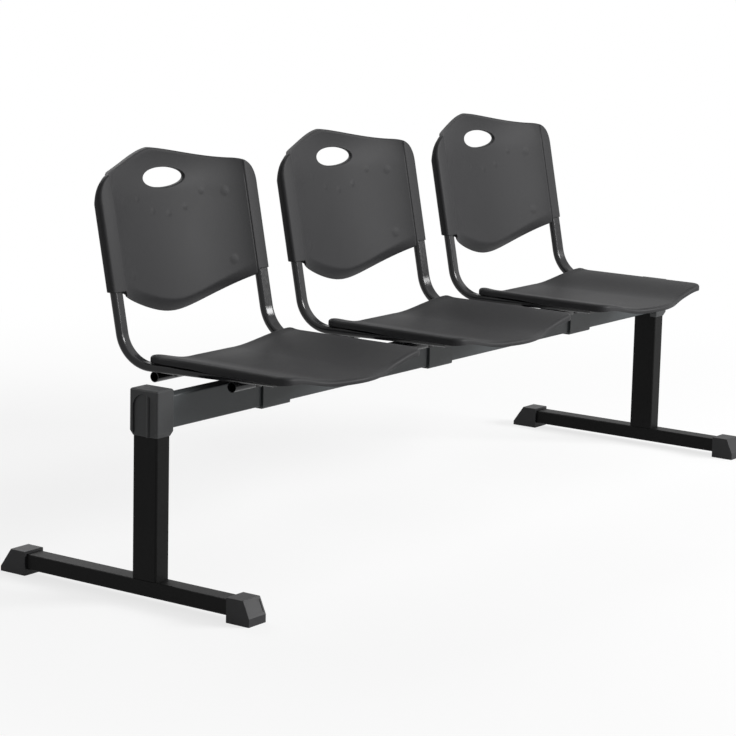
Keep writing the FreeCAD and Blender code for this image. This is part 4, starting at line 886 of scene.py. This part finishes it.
def make_group(name, inputs, outputs):
    """A node group with named sockets, and helpers to add and link its nodes."""
    group = bpy.data.node_groups.new(name, "ShaderNodeTree")
    for label, value in inputs.items():
        socket = group.interface.new_socket(label, in_out="INPUT", socket_type="NodeSocketFloat")
        socket.default_value = value
    for label, kind in outputs.items():
        group.interface.new_socket(label, in_out="OUTPUT", socket_type=f"NodeSocket{kind}")
    return group, group.nodes.new("NodeGroupInput"), group.nodes.new("NodeGroupOutput")


def add_noise(tree, scale, detail, stretch=(1, 1, 1)):
    """Noise in the piece's own coordinates; scale is a number or a socket."""
    place = tree.nodes.new("ShaderNodeTexCoord")
    mapping = tree.nodes.new("ShaderNodeMapping")
    mapping.inputs["Scale"].default_value = stretch
    noise = tree.nodes.new("ShaderNodeTexNoise")
    noise.inputs["Detail"].default_value = detail
    tree.links.new(place.outputs["Object"], mapping.inputs["Vector"])
    tree.links.new(mapping.outputs["Vector"], noise.inputs["Vector"])
    if isinstance(scale, (int, float)):
        noise.inputs["Scale"].default_value = scale
    else:
        tree.links.new(scale, noise.inputs["Scale"])
    return noise.outputs["Fac"]


def add_bump(tree, height, strength, depth):
    """A bump node; strength and depth are sockets."""
    bump = tree.nodes.new("ShaderNodeBump")
    tree.links.new(height, bump.inputs["Height"])
    tree.links.new(strength, bump.inputs["Strength"])
    tree.links.new(depth, bump.inputs["Distance"])
    return bump.outputs["Normal"]


def make_relief_group(name, scale, strength, depth, detail):
    """A group that turns noise into a normal and gives its height as a mask."""
    group, start, end = make_group(
        name, {"Scale": scale, "Strength": strength, "Depth": depth},
        {"Normal": "Vector", "Height": "Float"})
    height = add_noise(group, start.outputs["Scale"], detail)
    normal = add_bump(group, height, start.outputs["Strength"], start.outputs["Depth"])
    group.links.new(normal, end.inputs["Normal"])
    group.links.new(height, end.inputs["Height"])
    return group


def make_handling_group():
    """Slow clouds and fine specks, as a mask around a half."""
    group, start, end = make_group(
        "handling", {"Clouds": 5.0, "Specks": 160.0, "Speck share": 0.3}, {"Mask": "Float"})
    clouds = add_noise(group, start.outputs["Clouds"], 3.0)
    specks = add_noise(group, start.outputs["Specks"], 2.0)
    mix = group.nodes.new("ShaderNodeMix")
    group.links.new(start.outputs["Speck share"], mix.inputs["Factor"])
    group.links.new(clouds, mix.inputs["A"])
    group.links.new(specks, mix.inputs["B"])
    group.links.new(mix.outputs["Result"], end.inputs["Mask"])
    return group


MOULDED_GRAIN = make_relief_group("moulded_grain", 1500.0, 0.3, 0.0003, 2.0)
COAT_PEEL = make_relief_group("coat_peel", 420.0, 0.12, 0.0004, 1.0)
HANDLING = make_handling_group()
print("node groups:", [group.name for group in (MOULDED_GRAIN, COAT_PEEL, HANDLING)])

# %% [markdown]
# Each finish has a deep and a light tone and a range of roughness, which the handling mask runs
# through, and takes its normal from grain or peel. Only the bolts are metal to the shader, because
# lacquer and powder hide the steel under them. Posts and foot tubes are a deeper black than the
# beam, as they are in the photograph.

# %% Finishes
MASK_LOW = 0.35
MASK_HIGH = 0.65


def add_group(tree, group, values):
    """A group node with some of its values set."""
    node = tree.nodes.new("ShaderNodeGroup")
    node.node_tree = group
    for label, value in values.items():
        node.inputs[label].default_value = value
    return node


def add_range(tree, value, low, high):
    """The handling mask's usual range spread from low to high."""
    spread = tree.nodes.new("ShaderNodeMapRange")
    spread.inputs["From Min"].default_value = MASK_LOW
    spread.inputs["From Max"].default_value = MASK_HIGH
    spread.inputs["To Min"].default_value = low
    spread.inputs["To Max"].default_value = high
    tree.links.new(value, spread.inputs["Value"])
    return spread.outputs["Result"]


def make_finish(name, tones, roughness, relief, relief_values, metal=0.0, gloss=0.5):
    """A Principled material whose tone and roughness follow the handling mask."""
    material = bpy.data.materials.new(name)
    material.use_nodes = True
    tree = material.node_tree
    shader = tree.nodes["Principled BSDF"]
    shader.inputs["Metallic"].default_value = metal
    shader.inputs["Specular IOR Level"].default_value = gloss
    handling = add_group(tree, HANDLING, {})
    tone = tree.nodes.new("ShaderNodeMix")
    tone.data_type = "RGBA"
    colours = [socket for socket in tone.inputs if socket.type == "RGBA"]
    for socket, colour in zip(colours, tones):
        socket.default_value = (*colour, 1.0)
    share = add_range(tree, handling.outputs["Mask"], 0.0, 1.0)
    tree.links.new(share, tone.inputs[0])
    result = [socket for socket in tone.outputs if socket.type == "RGBA"][0]
    tree.links.new(result, shader.inputs["Base Color"])
    rough = add_range(tree, handling.outputs["Mask"], *roughness)
    tree.links.new(rough, shader.inputs["Roughness"])
    surface = add_group(tree, relief, relief_values)
    tree.links.new(surface.outputs["Normal"], shader.inputs["Normal"])
    return material


FINISHES = {
    "frame_steel": make_finish(
        "satin_powder_coat", ((0.022, 0.026, 0.028), (0.029, 0.033, 0.035)), (0.36, 0.46),
        COAT_PEEL, {"Strength": 0.2}, gloss=0.35),
    "chair_tube": make_finish(
        "gloss_powder_coat", ((0.005, 0.005, 0.006), (0.008, 0.008, 0.009)), (0.18, 0.28),
        COAT_PEEL, {"Strength": 0.1}, gloss=0.3),
    "clamp_steel": make_finish(
        "clamp_powder_coat", ((0.022, 0.025, 0.026), (0.029, 0.032, 0.033)), (0.38, 0.48),
        COAT_PEEL, {"Strength": 0.2}, gloss=0.35),
    "shell_plastic": make_finish(
        "grained_polypropylene", ((0.015, 0.015, 0.016), (0.020, 0.020, 0.021)), (0.50, 0.58),
        MOULDED_GRAIN, {"Strength": 0.25}, gloss=0.15),
    "cover_plastic": make_finish(
        "cover_plastic", ((0.024, 0.025, 0.026), (0.031, 0.032, 0.033)), (0.42, 0.52),
        MOULDED_GRAIN, {"Scale": 1200.0, "Strength": 0.3}, gloss=0.25),
    "cap_plastic": make_finish(
        "cap_plastic", ((0.015, 0.015, 0.016), (0.021, 0.021, 0.022)), (0.44, 0.55),
        MOULDED_GRAIN, {"Scale": 1100.0, "Strength": 0.35}, gloss=0.2),
    "plug_plastic": make_finish(
        "plug_plastic", ((0.012, 0.012, 0.013), (0.018, 0.018, 0.019)), (0.42, 0.52),
        MOULDED_GRAIN, {"Scale": 1600.0}),
    "zinc_fastener": make_finish(
        "bright_zinc", ((0.50, 0.50, 0.49), (0.60, 0.60, 0.58)), (0.28, 0.42),
        COAT_PEEL, {"Scale": 700.0, "Strength": 0.1}, metal=1.0),
    "black_fastener": make_finish(
        "black_oxide", ((0.014, 0.014, 0.015), (0.022, 0.022, 0.022)), (0.30, 0.42),
        COAT_PEEL, {"Scale": 800.0, "Strength": 0.1}, gloss=0.7),
}


LEG_FINISH = make_finish(
    "leg_powder_coat", ((0.004, 0.004, 0.004), (0.008, 0.008, 0.008)), (0.42, 0.52),
    COAT_PEEL, {"Strength": 0.15}, gloss=0.08)


def dress(mesh, finish):
    """Gives a mesh one finish, on every slot that it has."""
    if not mesh.materials:
        mesh.materials.append(finish)
    for place in range(len(mesh.materials)):
        mesh.materials[place] = finish


for entry in frame["record"]["subparts"]:
    node = entry["node"]
    is_leg = node.startswith(("leg_post", "leg_base"))
    dress(frame["nodes"][node].data, LEG_FINISH if is_leg else FINISHES[entry["material_slot"]])
for piece in SHELLS:
    dress(piece.data, FINISHES["shell_plastic"])

# %% [markdown]
# The look is finished here: plain colours stay as they are written.

# %% Finish
bpy.context.scene.view_settings.view_transform = "Standard"
